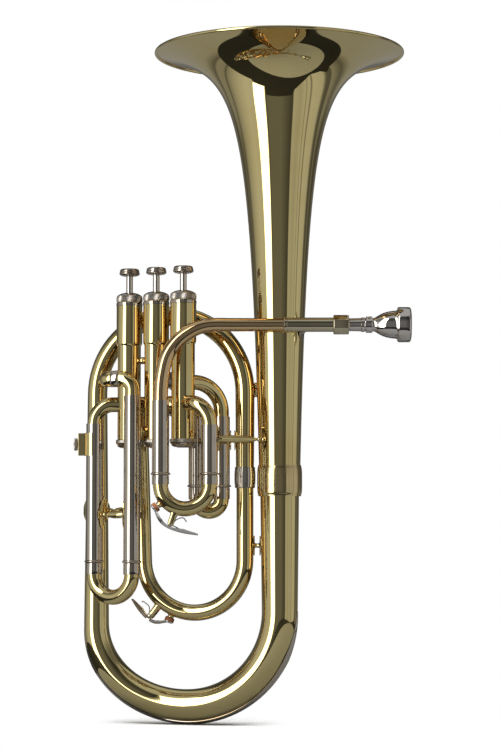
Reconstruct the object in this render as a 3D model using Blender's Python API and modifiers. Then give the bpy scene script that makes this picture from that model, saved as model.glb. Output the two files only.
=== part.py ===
"""Alto horn with three piston valves, in metres with +Z up.

The horn stands on its bottom bow with the bell opening upwards. Heights are measured from the lowest
point of the bow guard. Plan positions are measured from the bell's axis, +X towards the mouthpiece and
+Y away from the player's front; place() shifts them so that the origin lies under the middle of the horn.
"""
import math

import bmesh
import bpy
from mathutils import Matrix, Vector

# Running clearance between two pieces that meet
GAP = 0.0003

# Bell: flare radius = BASE + (RIM - BASE) * (START / (START + depth)) ** POWER, depth below the rim
BELL_RIM_DIAMETER = 0.205
HORN_HEIGHT = 0.550
FLARE_BASE = 0.0015
FLARE_START = 0.010
FLARE_POWER = 0.53
BELL_WALL = 0.0007
RIM_BEAD = 0.0026
RIM_FLAT = 0.0012
BELL_JOINT_HEIGHT = 0.198

# Ferrules over the two large joints
BELL_FERRULE_LENGTH = 0.0252
BRANCH_FERRULE_LENGTH = 0.017
FERRULE_WALL = 0.0006
FERRULE_BULGE = 0.0004

# Large bows, radii measured outside
LEFT_LEG = Vector((-0.1508, 0.039))
BRANCH_LEG = Vector((-0.0282, 0.004))
BOW_RADIUS_AT_SPRING = 0.0146
BOW_RADIUS_AT_BOTTOM = 0.0132
BOW_RADIUS_AT_LEFT = 0.0103
BOW_JOINT_HEIGHT = 0.0800
BOW_WALL = 0.0006
BRANCH_JOINT_HEIGHT = 0.2006
BRANCH_RADIUS_AT_FERRULE = 0.0073
BRANCH_RADIUS_AT_TOP = 0.0081
TOP_BOW_SPRING_HEIGHT = 0.2704
GUARD_WIDTH = 0.0110
GUARD_THICKNESS = 0.0018

# Inner loop
LOOP_LEFT_LEG = Vector((-0.1109, 0.026))
LOOP_SPRING_HEIGHT = 0.1335
LOOP_RADIUS_AT_VALVE = 0.0061
LOOP_RADIUS_AT_FERRULE = 0.0069
LOOP_LEG_FROM_VALVE = 0.0189

# Valves, numbered 1 to 3 from the mouthpiece side
VALVE_PITCH = 0.0249
VALVE_ROW_ANGLE = math.radians(26.0)
VALVE_2 = Vector((-0.1006, -0.0010))
CASING_BOTTOM = 0.2288
UPPER_CASING_LENGTH = 0.0351
CASING_SHOULDER = 0.3436
CASING_TOP = 0.3466
LOWER_CASING_RADIUS = 0.0095
UPPER_CASING_RADIUS = 0.0106
THREAD_RADIUS = 0.0099
LOWER_BORE = 0.0089
UPPER_BORE = 0.0094
LEDGE_HEIGHT = 0.3055
LOW_PORT = 0.2603
HIGH_PORT_1 = 0.2775
HIGH_PORT_2 = 0.2810
HIGH_PORT_3 = 0.2817
BACK_PORT_1 = 0.2585
LOW_PORT_2 = 0.2590
PORT_RADIUS = 0.0056
VALVE_TRAVEL = 0.0133
TIE_HEIGHT = 0.2960
TIE_BALL_RADIUS = 0.0023
TIE_ROD_RADIUS = 0.0013

# Piston, guide bar and spring
PISTON_BOTTOM = 0.2470
PISTON_TOP = 0.3030
BARREL_TOP = 0.3340
BARREL_RADIUS = 0.0080
BARREL_BORE = 0.0066
BARREL_PLATE = 0.0025
PASSAGE_RADIUS = 0.0048
GUIDE_BOTTOM = 0.3045
GUIDE_THICKNESS = 0.0025
GUIDE_WIDTH = 0.0044
GUIDE_EMBED = 0.0003
SPRING_COIL_RADIUS = 0.0052
SPRING_WIRE_RADIUS = 0.00045
SPRING_TURNS = 5

# Caps, stem and finger button
CAP_RADIUS = 0.0108
CAP_HEIGHT = 0.0082
CAP_DOME = 0.0042
CAP_CROWN_RADIUS = 0.0064
CAP_CROWN_DROP = 0.0008
CAP_WALL = 0.0012
BOTTOM_CAP_RADIUS = 0.0108
BOTTOM_CAP_HEIGHT = 0.0070
BOTTOM_CAP_FLOOR = 0.0017
BOTTOM_CAP_GRIP = 0.0026
STEM_RADIUS = 0.00275
BUTTON_RADIUS = 0.0084
BUTTON_TOP_RADIUS = 0.0074
BUTTON_HEIGHT = 0.0062
BUTTON_TOP = 0.3718

# Slide tubing
TUBE_RADIUS = 0.0061
TUBE_WALL = 0.0006
SLEEVE_RADIUS = 0.0069
SLEEVE_BORE = 0.00645
SLIDE_LEG_RADIUS = 0.0060
SLIDE_BORE = 0.0054
SLIDE_RING_RADIUS = 0.0080
SLIDE_RING_HEIGHT = 0.0018
TUBE_INSERT = 0.006

# Main tuning slide
TUNING_PLANE = -0.029
TUNING_LEFT_X = -0.0957
TUNING_RIGHT_X = -0.0566
TUNING_LEFT_TOP = 0.2615
TUNING_RIGHT_TOP = 0.2420
TUNING_RING = 0.2028
TUNING_SPRING = 0.1944
TUNING_PORT_ANGLE = math.radians(32.0)

# Third valve slide
SLIDE_3_LEFT = Vector((-0.1511, 0.0105))
SLIDE_3_RIGHT = Vector((-0.1194, -0.0088))
SLIDE_3_LEFT_TOP = 0.2447
SLIDE_3_RIGHT_TOP = 0.2666
SLIDE_3_RING = 0.1324
SLIDE_3_SPRING = 0.1222
SLIDE_3_BEND = 0.011
SLIDE_3_TURN = 0.0063
SLIDE_3_TURN_X = -0.1355

# First valve slide
SLIDE_1_LEFT = Vector((-0.0672, 0.0028))
SLIDE_1_RIGHT = Vector((-0.0474, 0.0028))
SLIDE_1_TOP = 0.2500
SLIDE_1_RING = 0.1936
SLIDE_1_SPRING = 0.1830
SLIDE_1_SIDE_BEND = 0.024

# Second valve slide, which points away behind valve 2
SLIDE_2_SLEEVE_LENGTH = 0.022
SLIDE_2_FERRULE = 0.0060

# Leadpipe, receiver and mouthpiece, all on one axis in front of the bell
LEADPIPE_HEIGHT = 0.3225
LEADPIPE_RADIUS = 0.0053
LEADPIPE_WALL = 0.0005
LEADPIPE_END_X = 0.0030
LEADPIPE_BEND = [(-0.0520, 0.3225), (-0.0618, 0.3213), (-0.0720, 0.3170), (-0.0829, 0.3088),
                 (-0.0909, 0.2969), (-0.0946, 0.2816)]
RECEIVER_LENGTH = 0.0524
RECEIVER_RADIUS = 0.0058
RECEIVER_RING_RADIUS = 0.0064
RECEIVER_RING_LENGTH = 0.0022
COLLAR_RADIUS = 0.0079
COLLAR_LENGTH = 0.0124
SOCKET_DEPTH = 0.020
SOCKET_MOUTH_RADIUS = 0.0054
SOCKET_END_RADIUS = 0.0050
MOUTHPIECE_BORE = 0.0022
MOUTHPIECE_THROAT_DEPTH = 0.021
SHANK_LENGTH = 0.0089
MOUTHPIECE_RINGS_LENGTH = 0.0104
CUP_LENGTH = 0.0195
RIM_LENGTH = 0.0108
MOUTHPIECE_RIM_RADIUS = 0.0142
CUP_MOUTH_RADIUS = 0.0090

# Lyre holder on the left sleeve of slide 3
LYRE_BOTTOM = 0.2187
LYRE_HEIGHT = 0.0181
LYRE_WIDTH = 0.0066
LYRE_DEPTH = 0.0088
LYRE_SLOT_WIDTH = 0.0045
LYRE_SLOT_DEPTH = 0.0062
LYRE_SADDLE = 0.0007
LYRE_SCREW_RADIUS = 0.0015
LYRE_HEAD_RADIUS = 0.0051
LYRE_HEAD_THICKNESS = 0.0030
LYRE_NECK = 0.0006

# Braces
BRACE_ROD_RADIUS = 0.0014
BRACE_BALL_RADIUS = 0.0022
BRACE_SPINDLE_RADIUS = 0.0029
VALVE_FOOT_LENGTH = 0.010
BRANCH_FOOT_LENGTH = 0.012
FOOT_LENGTH = 0.016
BELL_FOOT_LENGTH = 0.020
LEFT_FOOT_LENGTH = 0.024
FOOT_THICKNESS = 0.0008
FOOT_WIDTH = 0.009
BELL_BRACE_ABOVE_FERRULE = 0.0204
SIDE_BRACE_ABOVE_FERRULE = 0.0219
BELL_BRACE_ANGLE = math.radians(52.0)
VALVE_BRACE_HEIGHT = 0.2372
BRANCH_BRACE_BELOW_RIM = 0.2767
LOOP_BRACE_HEIGHT = 0.1454
SLIDE_3_BRACE_HEIGHT = 0.1705
LEFT_BRACE_HEIGHT = 0.1740
RECEIVER_BRACE_X = 0.0280
RECEIVER_BRACE_ANGLE = math.radians(60.0)
RECEIVER_BRACE_HEIGHT = 0.3180
RECEIVER_FOOT_LENGTH = 0.014

# Water keys
KEY_WIDTH = 0.0040
KEY_THICKNESS = 0.0012
KEY_CUP_RADIUS = 0.0036
KEY_CORK_RADIUS = 0.0030
KEY_CORK_LENGTH = 0.0026
KEY_NIPPLE_RADIUS = 0.0024
KEY_NIPPLE_LENGTH = 0.0020
KEY_PIN_RADIUS = 0.0009
KEY_EYE_RADIUS = 0.0021
KEY_EYE_LENGTH = 0.0046
KEY_EAR_THICKNESS = 0.0011
KEY_EAR_RADIUS = 0.0023
TUNING_KEY_CORK_ANGLE = math.radians(218.0)
TUNING_KEY_PIVOT = Vector((-0.0112, -0.0310))
TUNING_KEY_TIP = Vector((0.0110, -0.0415))
LOOP_KEY_CORK_ANGLE = math.radians(-66.5)
LOOP_KEY_PIVOT = Vector((0.0370, -0.0455))
LOOP_KEY_TIP = Vector((0.0543, -0.0320))

# Facets round each kind of piece
BELL_SIDES = 32
BOW_SIDES = 16
TUBE_SIDES = 12
SLEEVE_SIDES = 12
CASING_SIDES = 16
BRACE_SIDES = 8
FOOT_SIDES = 24
ARC_STEP = math.radians(18.0)
TIGHT_ARC_STEP = math.radians(22.5)
TIGHT_BEND = 0.026

# The last short stretch of a bend, which cuts its end square
SQUARE_END = 0.0008

# What follows from the sizes above
CASING_STEP_HEIGHT = CASING_SHOULDER - UPPER_CASING_LENGTH
RIM_RADIUS = BELL_RIM_DIAMETER / 2
LEFT_REACH = -SLIDE_3_LEFT.x + SLEEVE_RADIUS + GAP + LYRE_WIDTH + LYRE_NECK + LYRE_HEAD_THICKNESS
RIGHT_REACH = (LEADPIPE_END_X + GAP + RECEIVER_LENGTH + SHANK_LENGTH + MOUTHPIECE_RINGS_LENGTH + CUP_LENGTH
               + RIM_LENGTH)
BELL_X = (LEFT_REACH - RIGHT_REACH) / 2
ROW = Vector((math.cos(VALVE_ROW_ANGLE), -math.sin(VALVE_ROW_ANGLE)))
ROW_BACK = Vector((math.sin(VALVE_ROW_ANGLE), math.cos(VALVE_ROW_ANGLE)))
VALVES = {1: VALVE_2 + ROW * VALVE_PITCH, 2: VALVE_2, 3: VALVE_2 - ROW * VALVE_PITCH}
TUNING_PORT_WAY = Vector((math.sin(TUNING_PORT_ANGLE), -math.cos(TUNING_PORT_ANGLE)))
BELL_AXIS = Vector((0.0, 0.0))
UP = Vector((0.0, 0.0, 1.0))

HORN = bpy.data.collections.new("alto_horn")
CUTTERS = bpy.data.collections.new("cutters")


def clear_scene():
    """Empty the file of objects and open the two collections."""
    for old in list(bpy.data.objects):
        bpy.data.objects.remove(old, do_unlink=True)
    bpy.context.scene.collection.children.link(HORN)
    bpy.context.scene.collection.children.link(CUTTERS)


def metal(name, colour, roughness, metallic=1.0):
    """A Principled material with one colour, roughness and metallic value."""
    made = bpy.data.materials.new(name)
    made.use_nodes = True
    shader = made.node_tree.nodes["Principled BSDF"]
    shader.inputs["Base Color"].default_value = (*colour, 1.0)
    shader.inputs["Roughness"].default_value = roughness
    shader.inputs["Metallic"].default_value = metallic
    return made


BRASS = metal("lacquered_brass", (0.72, 0.53, 0.22), 0.16)
ROSE_BRASS = metal("rose_brass", (0.76, 0.46, 0.24), 0.18)
NICKEL = metal("nickel", (0.66, 0.63, 0.58), 0.20)
SILVER = metal("silver_plate", (0.80, 0.79, 0.76), 0.14)
STEEL = metal("spring_steel", (0.45, 0.45, 0.46), 0.35)
CORK = metal("cork", (0.42, 0.16, 0.08), 0.85, 0.0)


def place(plan, height):
    """A point in the horn's own frame from a plan position beside the bell's axis."""
    return Vector((BELL_X + plan.x, plan.y, height))


def flat(direction):
    """A horizontal direction as a 3-D vector."""
    return Vector((direction.x, direction.y, 0.0))


def upright(plan, height=0.0):
    """The frame of a piece turned about a vertical line."""
    return Matrix.Translation(place(plan, height))


def aimed(origin, direction):
    """The frame of a piece turned about a line through origin along direction."""
    turn = direction.to_track_quat("Z", "Y").to_matrix().to_4x4()
    return Matrix.Translation(origin) @ turn


def shown(obj, material):
    """Put a finished piece in the horn's collection, smooth shaded with its own material."""
    HORN.objects.link(obj)
    obj.data.materials.clear()
    obj.data.materials.append(material)
    obj.data.shade_smooth()
    obj.data.set_sharp_from_angle(angle=math.radians(35))
    return obj


def evaluated_mesh(obj):
    """The mesh of an object with its modifiers or its bevel."""
    bpy.context.view_layer.update()
    return bpy.data.meshes.new_from_object(obj.evaluated_get(bpy.context.evaluated_depsgraph_get()))


def baked(obj):
    """A plain mesh object with the modifiers of obj applied and its place in the mesh."""
    mesh = evaluated_mesh(obj)
    mesh.transform(obj.matrix_world)
    name = obj.name
    bpy.data.objects.remove(obj, do_unlink=True)
    plain = bpy.data.objects.new(name, mesh)
    return plain


def on_stage(obj):
    """Link an unfinished object so that Blender evaluates it, hidden from renders."""
    CUTTERS.objects.link(obj)
    obj.hide_render = True
    obj.display_type = "WIRE"
    return obj


def turned(name, profile, frame, sides, ring=True):
    """A profile of (radius, height) pairs turned about the frame's Z, outer side listed downwards.

    A ring profile closes on itself; otherwise its first and last points lie on the axis.
    """
    mesh = bpy.data.meshes.new(name)
    points = [(radius, 0.0, height) for radius, height in profile]
    edges = [(i, i + 1) for i in range(len(points) - 1)]
    if ring:
        edges.append((len(points) - 1, 0))
    mesh.from_pydata(points, edges, [])
    obj = on_stage(bpy.data.objects.new(name, mesh))
    obj.matrix_world = frame
    screw = obj.modifiers.new("turn", "SCREW")
    screw.steps = sides
    screw.render_steps = sides
    screw.use_merge_vertices = True
    screw.merge_threshold = 0.00001
    return baked(obj)


def box(name, size, frame):
    """A box of the given size centred on the frame."""
    mesh = bpy.data.meshes.new(name)
    work = bmesh.new()
    bmesh.ops.create_cube(work, size=1.0)
    bmesh.ops.scale(work, vec=size, verts=work.verts)
    bmesh.ops.transform(work, matrix=frame, verts=work.verts)
    work.to_mesh(mesh)
    work.free()
    return bpy.data.objects.new(name, mesh)


def prism(name, outline, shift):
    """A flat outline of points given a thickness along shift."""
    mesh = bpy.data.meshes.new(name)
    work = bmesh.new()
    near = [work.verts.new(spot) for spot in outline]
    far = [work.verts.new(spot + shift) for spot in outline]
    work.faces.new(near)
    work.faces.new(far)
    for i in range(len(near)):
        j = (i + 1) % len(near)
        work.faces.new((near[i], near[j], far[j], far[i]))
    bmesh.ops.recalc_face_normals(work, faces=work.faces)
    work.to_mesh(mesh)
    work.free()
    return bpy.data.objects.new(name, mesh)


def banded(name, rings):
    """A closed piece from a row of rings of points with the same count."""
    mesh = bpy.data.meshes.new(name)
    work = bmesh.new()
    rows = [[work.verts.new(spot) for spot in ring] for ring in rings]
    for near, far in zip(rows, rows[1:]):
        for i in range(len(near)):
            j = (i + 1) % len(near)
            work.faces.new((near[i], near[j], far[j], far[i]))
    work.faces.new(rows[0])
    work.faces.new(rows[-1])
    bmesh.ops.recalc_face_normals(work, faces=work.faces)
    work.to_mesh(mesh)
    work.free()
    return bpy.data.objects.new(name, mesh)


def rod(name, start, end, radius, sides):
    """A straight round rod from start to end."""
    mesh = bpy.data.meshes.new(name)
    work = bmesh.new()
    bmesh.ops.create_cone(work, cap_ends=True, segments=sides, radius1=radius, radius2=radius,
                          depth=(end - start).length)
    bmesh.ops.transform(work, matrix=aimed((start + end) / 2, end - start), verts=work.verts)
    work.to_mesh(mesh)
    work.free()
    return bpy.data.objects.new(name, mesh)


def ball(name, centre, radius, sides):
    """A ball."""
    mesh = bpy.data.meshes.new(name)
    work = bmesh.new()
    bmesh.ops.create_uvsphere(work, u_segments=sides, v_segments=sides - 2, radius=radius)
    bmesh.ops.translate(work, vec=centre, verts=work.verts)
    work.to_mesh(mesh)
    work.free()
    return bpy.data.objects.new(name, mesh)


def combined(obj, other, operation):
    """obj joined with, cut by or kept inside other; other is used up."""
    on_stage(obj)
    on_stage(other)
    step = obj.modifiers.new(operation, "BOOLEAN")
    step.object = other
    step.operation = operation
    step.solver = "EXACT"
    result = baked(obj)
    bpy.data.objects.remove(other, do_unlink=True)
    return result


def arc(centre, first, second, angle):
    """Points on an arc from centre + first that turns towards centre + second."""
    step = TIGHT_ARC_STEP if first.length < TIGHT_BEND else ARC_STEP
    steps = math.ceil(angle / step - 0.001)
    turns = [angle * i / steps for i in range(steps + 1)]
    return [centre + first * math.cos(turn) + second * math.sin(turn) for turn in turns]


def curved(start, start_pull, end_pull, end, steps):
    """Points on a cubic curve that leaves start by start_pull and arrives at end by end_pull."""
    points = []
    for i in range(steps + 1):
        t = i / steps
        s = 1 - t
        points.append(start * s ** 3 + start_pull * 3 * s * s * t + end_pull * 3 * s * t * t + end * t ** 3)
    return points


def smooth_run(points, per_span):
    """Points on a Catmull-Rom curve through the given points."""
    ends = [points[0] * 2 - points[1]] + points + [points[-1] * 2 - points[-2]]
    run = []
    for i in range(1, len(ends) - 2):
        before, here, there, after = ends[i - 1:i + 3]
        for j in range(per_span):
            t = j / per_span
            run.append(0.5 * (here * 2 + (there - before) * t
                              + (before * 2 - here * 5 + there * 4 - after) * t * t
                              + (here * 3 - before - there * 3 + after) * t ** 3))
    run.append(points[-1])
    return run


def lengths(path):
    """The distance of each point of a path from its start."""
    run = [0.0]
    for before, here in zip(path, path[1:]):
        run.append(run[-1] + (here - before).length)
    return run


def tapered(path, start_radius, end_radius):
    """Radii that change evenly along a path."""
    run = lengths(path)
    return [start_radius + (end_radius - start_radius) * done / run[-1] for done in run]


def swept(path, radii, sides, capped):
    """The mesh of a round tube along a path, from a curve with a bevel."""
    data = bpy.data.curves.new("sweep", "CURVE")
    data.dimensions = "3D"
    data.bevel_depth = 1.0
    data.bevel_resolution = (sides - 4) // 2
    data.use_fill_caps = capped
    spline = data.splines.new("POLY")
    spline.points.add(len(path) - 1)
    for point, spot, radius in zip(spline.points, path, radii):
        point.co = (*spot, 1.0)
        point.radius = radius
    obj = on_stage(bpy.data.objects.new("sweep", data))
    mesh = evaluated_mesh(obj)
    bpy.data.objects.remove(obj, do_unlink=True)
    return mesh


def solid_tube(name, path, radii, sides):
    """A solid round bar along a path."""
    mesh = swept(path, radii, sides, True)
    work = bmesh.new()
    work.from_mesh(mesh)
    bmesh.ops.remove_doubles(work, verts=work.verts, dist=0.000001)
    bmesh.ops.recalc_face_normals(work, faces=work.faces)
    work.to_mesh(mesh)
    work.free()
    return bpy.data.objects.new(name, mesh)


def hollow_tube(name, path, radii, bores, sides):
    """A tube along a path, open at both ends; a bore ring is left out where two points nearly meet."""
    inner_path = [path[0]]
    inner_bores = [bores[0]]
    for spot, bore in zip(path[1:], bores[1:]):
        if (spot - inner_path[-1]).length > 0.0005:
            inner_path.append(spot)
            inner_bores.append(bore)
    work = bmesh.new()
    work.from_mesh(swept(path, radii, sides, False))
    outer = set(work.faces)
    work.from_mesh(swept(inner_path, inner_bores, sides, False))
    bmesh.ops.reverse_faces(work, faces=[face for face in work.faces if face not in outer])
    for end in (path[0], path[-1]):
        reach = max(radii) * 1.5
        rims = [edge for edge in work.edges if edge.is_boundary
                and all((vert.co - end).length < reach for vert in edge.verts)]
        bmesh.ops.bridge_loops(work, edges=rims)
    bmesh.ops.recalc_face_normals(work, faces=work.faces)
    mesh = bpy.data.meshes.new(name)
    work.to_mesh(mesh)
    work.free()
    return bpy.data.objects.new(name, mesh)


def casing_cutter(number, radius):
    """The space that a valve casing of this radius fills."""
    spot = VALVES[number]
    return rod("casing_space", place(spot, CASING_BOTTOM - 0.01), place(spot, CASING_TOP), radius,
               CASING_SIDES * 2)


def fitted_to_casing(obj, number):
    """A tube cut to sit on a valve casing."""
    return combined(obj, casing_cutter(number, LOWER_CASING_RADIUS + GAP), "DIFFERENCE")


def flare_radius(depth):
    """Outside radius of the bell at a depth below its rim."""
    share = (FLARE_START / (FLARE_START + depth)) ** FLARE_POWER
    return FLARE_BASE + (RIM_RADIUS - FLARE_BASE) * share


def flare_depth(radius):
    """Depth below the rim at which the bell has an outside radius."""
    share = (radius - FLARE_BASE) / (RIM_RADIUS - FLARE_BASE)
    return FLARE_START * (share ** (-1 / FLARE_POWER) - 1)


RIM_HEIGHT = HORN_HEIGHT - RIM_BEAD / 2
BELL_LENGTH = RIM_HEIGHT - BELL_JOINT_HEIGHT
BELL_END_RADIUS = flare_radius(BELL_LENGTH)
BOW_RADIUS_AT_BELL = BELL_END_RADIUS - BELL_WALL


def bell_radius_at(height):
    """Outside radius of the bell at a height."""
    return flare_radius(RIM_HEIGHT - height)


def make_bell():
    """The flare, spun from one profile with a rolled bead at its rim."""
    rows = 14
    bead = RIM_BEAD / 2
    start = RIM_RADIUS - RIM_BEAD
    ratio = (BELL_END_RADIUS / start) ** (1 / rows)
    outer = []
    for i in range(rows + 1):
        radius = start * ratio ** i
        outer.append((radius, RIM_HEIGHT - flare_depth(radius)))
    inner = []
    for i, (radius, height) in enumerate(outer):
        before = outer[max(i - 1, 0)]
        after = outer[min(i + 1, rows)]
        run = Vector((before[0] - after[0], before[1] - after[1])).normalized()
        inner.append((radius - run.y * BELL_WALL, height + run.x * BELL_WALL))
    inner[-1] = (outer[-1][0] - BELL_WALL, outer[-1][1])
    rim = [(RIM_RADIUS - bead - RIM_FLAT / 2, HORN_HEIGHT), (RIM_RADIUS - bead + RIM_FLAT / 2, HORN_HEIGHT),
           (RIM_RADIUS, RIM_HEIGHT + bead * 0.5), (RIM_RADIUS, RIM_HEIGHT - bead * 0.5),
           (RIM_RADIUS - bead + RIM_FLAT / 2, RIM_HEIGHT - bead)]
    profile = rim + outer + inner[::-1]
    return shown(turned("bell", profile, upright(BELL_AXIS), BELL_SIDES), BRASS)


def make_ferrule(name, plan, middle, length, radius, sides, material):
    """A slightly barrelled sleeve over a joint."""
    bore = radius + GAP
    outer = bore + FERRULE_WALL
    half = length / 2
    profile = [(outer, middle + half), (outer + FERRULE_BULGE, middle), (outer, middle - half),
               (bore, middle - half), (bore, middle + half)]
    return shown(turned(name, profile, upright(plan), sides), material)


BOW_ACROSS = LEFT_LEG - BELL_AXIS
BOW_BEND = BOW_ACROSS.length / 2
BOW_BOTTOM_HEIGHT = BOW_RADIUS_AT_BOTTOM + GAP + GUARD_THICKNESS
BOW_SPRING_HEIGHT = BOW_BEND + BOW_BOTTOM_HEIGHT


def bow_stations():
    """Centre line and outside radii of the bottom bow: a round quarter, then a flatter one to the left joint."""
    steps = 5
    middle = (BELL_AXIS + LEFT_LEG) / 2
    path = []
    radii = []
    for i in range(2 * steps + 1):
        angle = math.pi / 2 * i / steps
        before = i <= steps
        top = BOW_SPRING_HEIGHT if before else BOW_JOINT_HEIGHT
        first = BOW_RADIUS_AT_SPRING if before else BOW_RADIUS_AT_LEFT
        spot = middle - BOW_ACROSS / 2 * math.cos(angle)
        path.append(place(spot, top - (top - BOW_BOTTOM_HEIGHT) * math.sin(angle)))
        radii.append(BOW_RADIUS_AT_BOTTOM + (first - BOW_RADIUS_AT_BOTTOM) * abs(i - steps) / steps)
    path.insert(-1, path[-1] - UP * SQUARE_END)
    radii.insert(-1, radii[-1])
    return path, radii


def make_bottom_bow():
    """The conical U that carries the bell."""
    turn, turn_radii = bow_stations()
    path = [place(BELL_AXIS, BELL_JOINT_HEIGHT - GAP)] + turn
    radii = [BOW_RADIUS_AT_BELL] + turn_radii
    bores = [radius - BOW_WALL for radius in radii]
    return shown(hollow_tube("bottom_bow", path, radii, bores, BOW_SIDES), BRASS)


def make_bow_guard():
    """The nickel silver strip along the outer side of the bottom bow."""
    normal = flat(BOW_ACROSS).cross(UP).normalized()
    path, radii = bow_stations()
    rings = []
    for i, (spot, radius) in enumerate(zip(path, radii)):
        inner = 0 < i < len(path) - 2
        along = path[i + 1] - path[i - 1] if inner else UP * (1 if i else -1)
        outward = along.cross(normal).normalized()
        half = GUARD_WIDTH / 2 / radius
        ring = []
        for reach, turns in ((radius + GAP + GUARD_THICKNESS, (-0.55, 0, 0.55)),
                             (radius + GAP, (1, 0.5, 0, -0.5, -1))):
            for turn in turns:
                way = outward * math.cos(turn * half) + normal * math.sin(turn * half)
                ring.append(spot + way * reach)
        rings.append(ring)
    return shown(banded("bow_guard", rings), NICKEL)


def make_top_bow():
    """The conical tube from the branch ferrule over the back of the valves and down the left side."""
    across = LEFT_LEG - BRANCH_LEG
    centre = place((LEFT_LEG + BRANCH_LEG) / 2, TOP_BOW_SPRING_HEIGHT)
    turn = arc(centre, flat(-across / 2), UP * across.length / 2, math.pi)
    path = [place(BRANCH_LEG, BRANCH_JOINT_HEIGHT + GAP)] + turn
    radii = tapered(path, BRANCH_RADIUS_AT_FERRULE, BRANCH_RADIUS_AT_TOP)
    path.append(place(LEFT_LEG, BOW_JOINT_HEIGHT + GAP))
    radii.append(BOW_RADIUS_AT_LEFT)
    bores = [radius - TUBE_WALL for radius in radii]
    return shown(hollow_tube("top_bow", path, radii, bores, BOW_SIDES - 2), BRASS)


def key_saddle(obj, pivot, outward, normal, tube_surface):
    """obj with two ears and a pivot pin for a water key joined to it."""
    across = outward.cross(normal)
    foot = tube_surface + 0.0008
    outline = [pivot - outward * foot - across * KEY_EAR_RADIUS * 1.3]
    for turn in (-180, -135, -90, -45, 0):
        angle = math.radians(turn + 180)
        outline.append(pivot + (outward * math.sin(angle) - across * math.cos(angle)) * KEY_EAR_RADIUS)
    outline.append(pivot - outward * foot + across * KEY_EAR_RADIUS * 1.3)
    inner = KEY_EYE_LENGTH / 2 + GAP
    for side in (-1, 1):
        start = [spot + normal * side * inner for spot in outline]
        obj = combined(obj, prism("ear", start, normal * side * KEY_EAR_THICKNESS), "UNION")
    span = normal * (inner + KEY_EAR_THICKNESS * 0.5)
    return combined(obj, rod("pin", pivot - span, pivot + span, KEY_PIN_RADIUS, 8), "UNION")


def key_nipple(obj, centre, outward, tube_radius):
    """obj with the short water nipple under a key's cork."""
    start = centre + outward * (tube_radius - 0.0008)
    end = centre + outward * (tube_radius + KEY_NIPPLE_LENGTH)
    return combined(obj, rod("nipple", start, end, KEY_NIPPLE_RADIUS, 10), "UNION")


def in_plane(centre, along, spot):
    """A point given in a bow's own plane, from its centre: along it and upwards."""
    return centre + along * spot.x + UP * spot.y


def make_key(prefix, centre, along, cork_angle, bow_bend, tube_radius, pivot_spot, tip_spot):
    """A water key's lever and cork. The lever is a flat strip with an eye, a cup and a finger end."""
    normal = along.cross(UP).normalized()
    way = along * math.cos(cork_angle) + UP * math.sin(cork_angle)
    seat = centre + way * (bow_bend + tube_radius + KEY_NIPPLE_LENGTH + GAP)
    cork = rod(prefix + "_cork", seat, seat + way * KEY_CORK_LENGTH, KEY_CORK_RADIUS, 10)
    shown(cork, CORK)
    pivot = in_plane(centre, along, pivot_spot)
    tip = in_plane(centre, along, tip_spot)
    cup_start = seat + way * (KEY_CORK_LENGTH + GAP)
    cup_end = cup_start + way * KEY_THICKNESS
    lever = rod(prefix + "_lever", cup_start, cup_end, KEY_CUP_RADIUS, 12)
    cup_middle = (cup_start + cup_end) / 2
    bulge = (pivot - centre).normalized() * 0.004
    run = smooth_run([cup_middle, (cup_middle + pivot) / 2 + bulge * 0.5, pivot, (pivot + tip) / 2 + bulge * 0.4,
                      tip], 2)
    lever = combined(lever, strip("strip", run, normal, KEY_WIDTH, KEY_THICKNESS), "UNION")
    half = normal * KEY_EYE_LENGTH / 2
    lever = combined(lever, rod("eye", pivot - half, pivot + half, KEY_EYE_RADIUS, 12), "UNION")
    lever = combined(lever, rod("hole", pivot - half * 2, pivot + half * 2, KEY_PIN_RADIUS + GAP, 10),
                     "DIFFERENCE")
    return shown(lever, SILVER)


def strip(name, run, normal, width, thickness):
    """A bent flat strip along points in one plane."""
    rings = []
    for i, spot in enumerate(run):
        way = (run[min(i + 1, len(run) - 1)] - run[max(i - 1, 0)]).normalized()
        up = way.cross(normal) * thickness / 2
        side = normal * width / 2
        rings.append([spot + up + side, spot + up - side, spot - up - side, spot - up + side])
    return banded(name, rings)


def loop_frame():
    """Centre of the inner loop's bend and the direction along it towards its left leg."""
    centre = place((BRANCH_LEG + LOOP_LEFT_LEG) / 2, LOOP_SPRING_HEIGHT)
    along = flat(LOOP_LEFT_LEG - BRANCH_LEG)
    return centre, along.normalized(), along.length / 2


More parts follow.
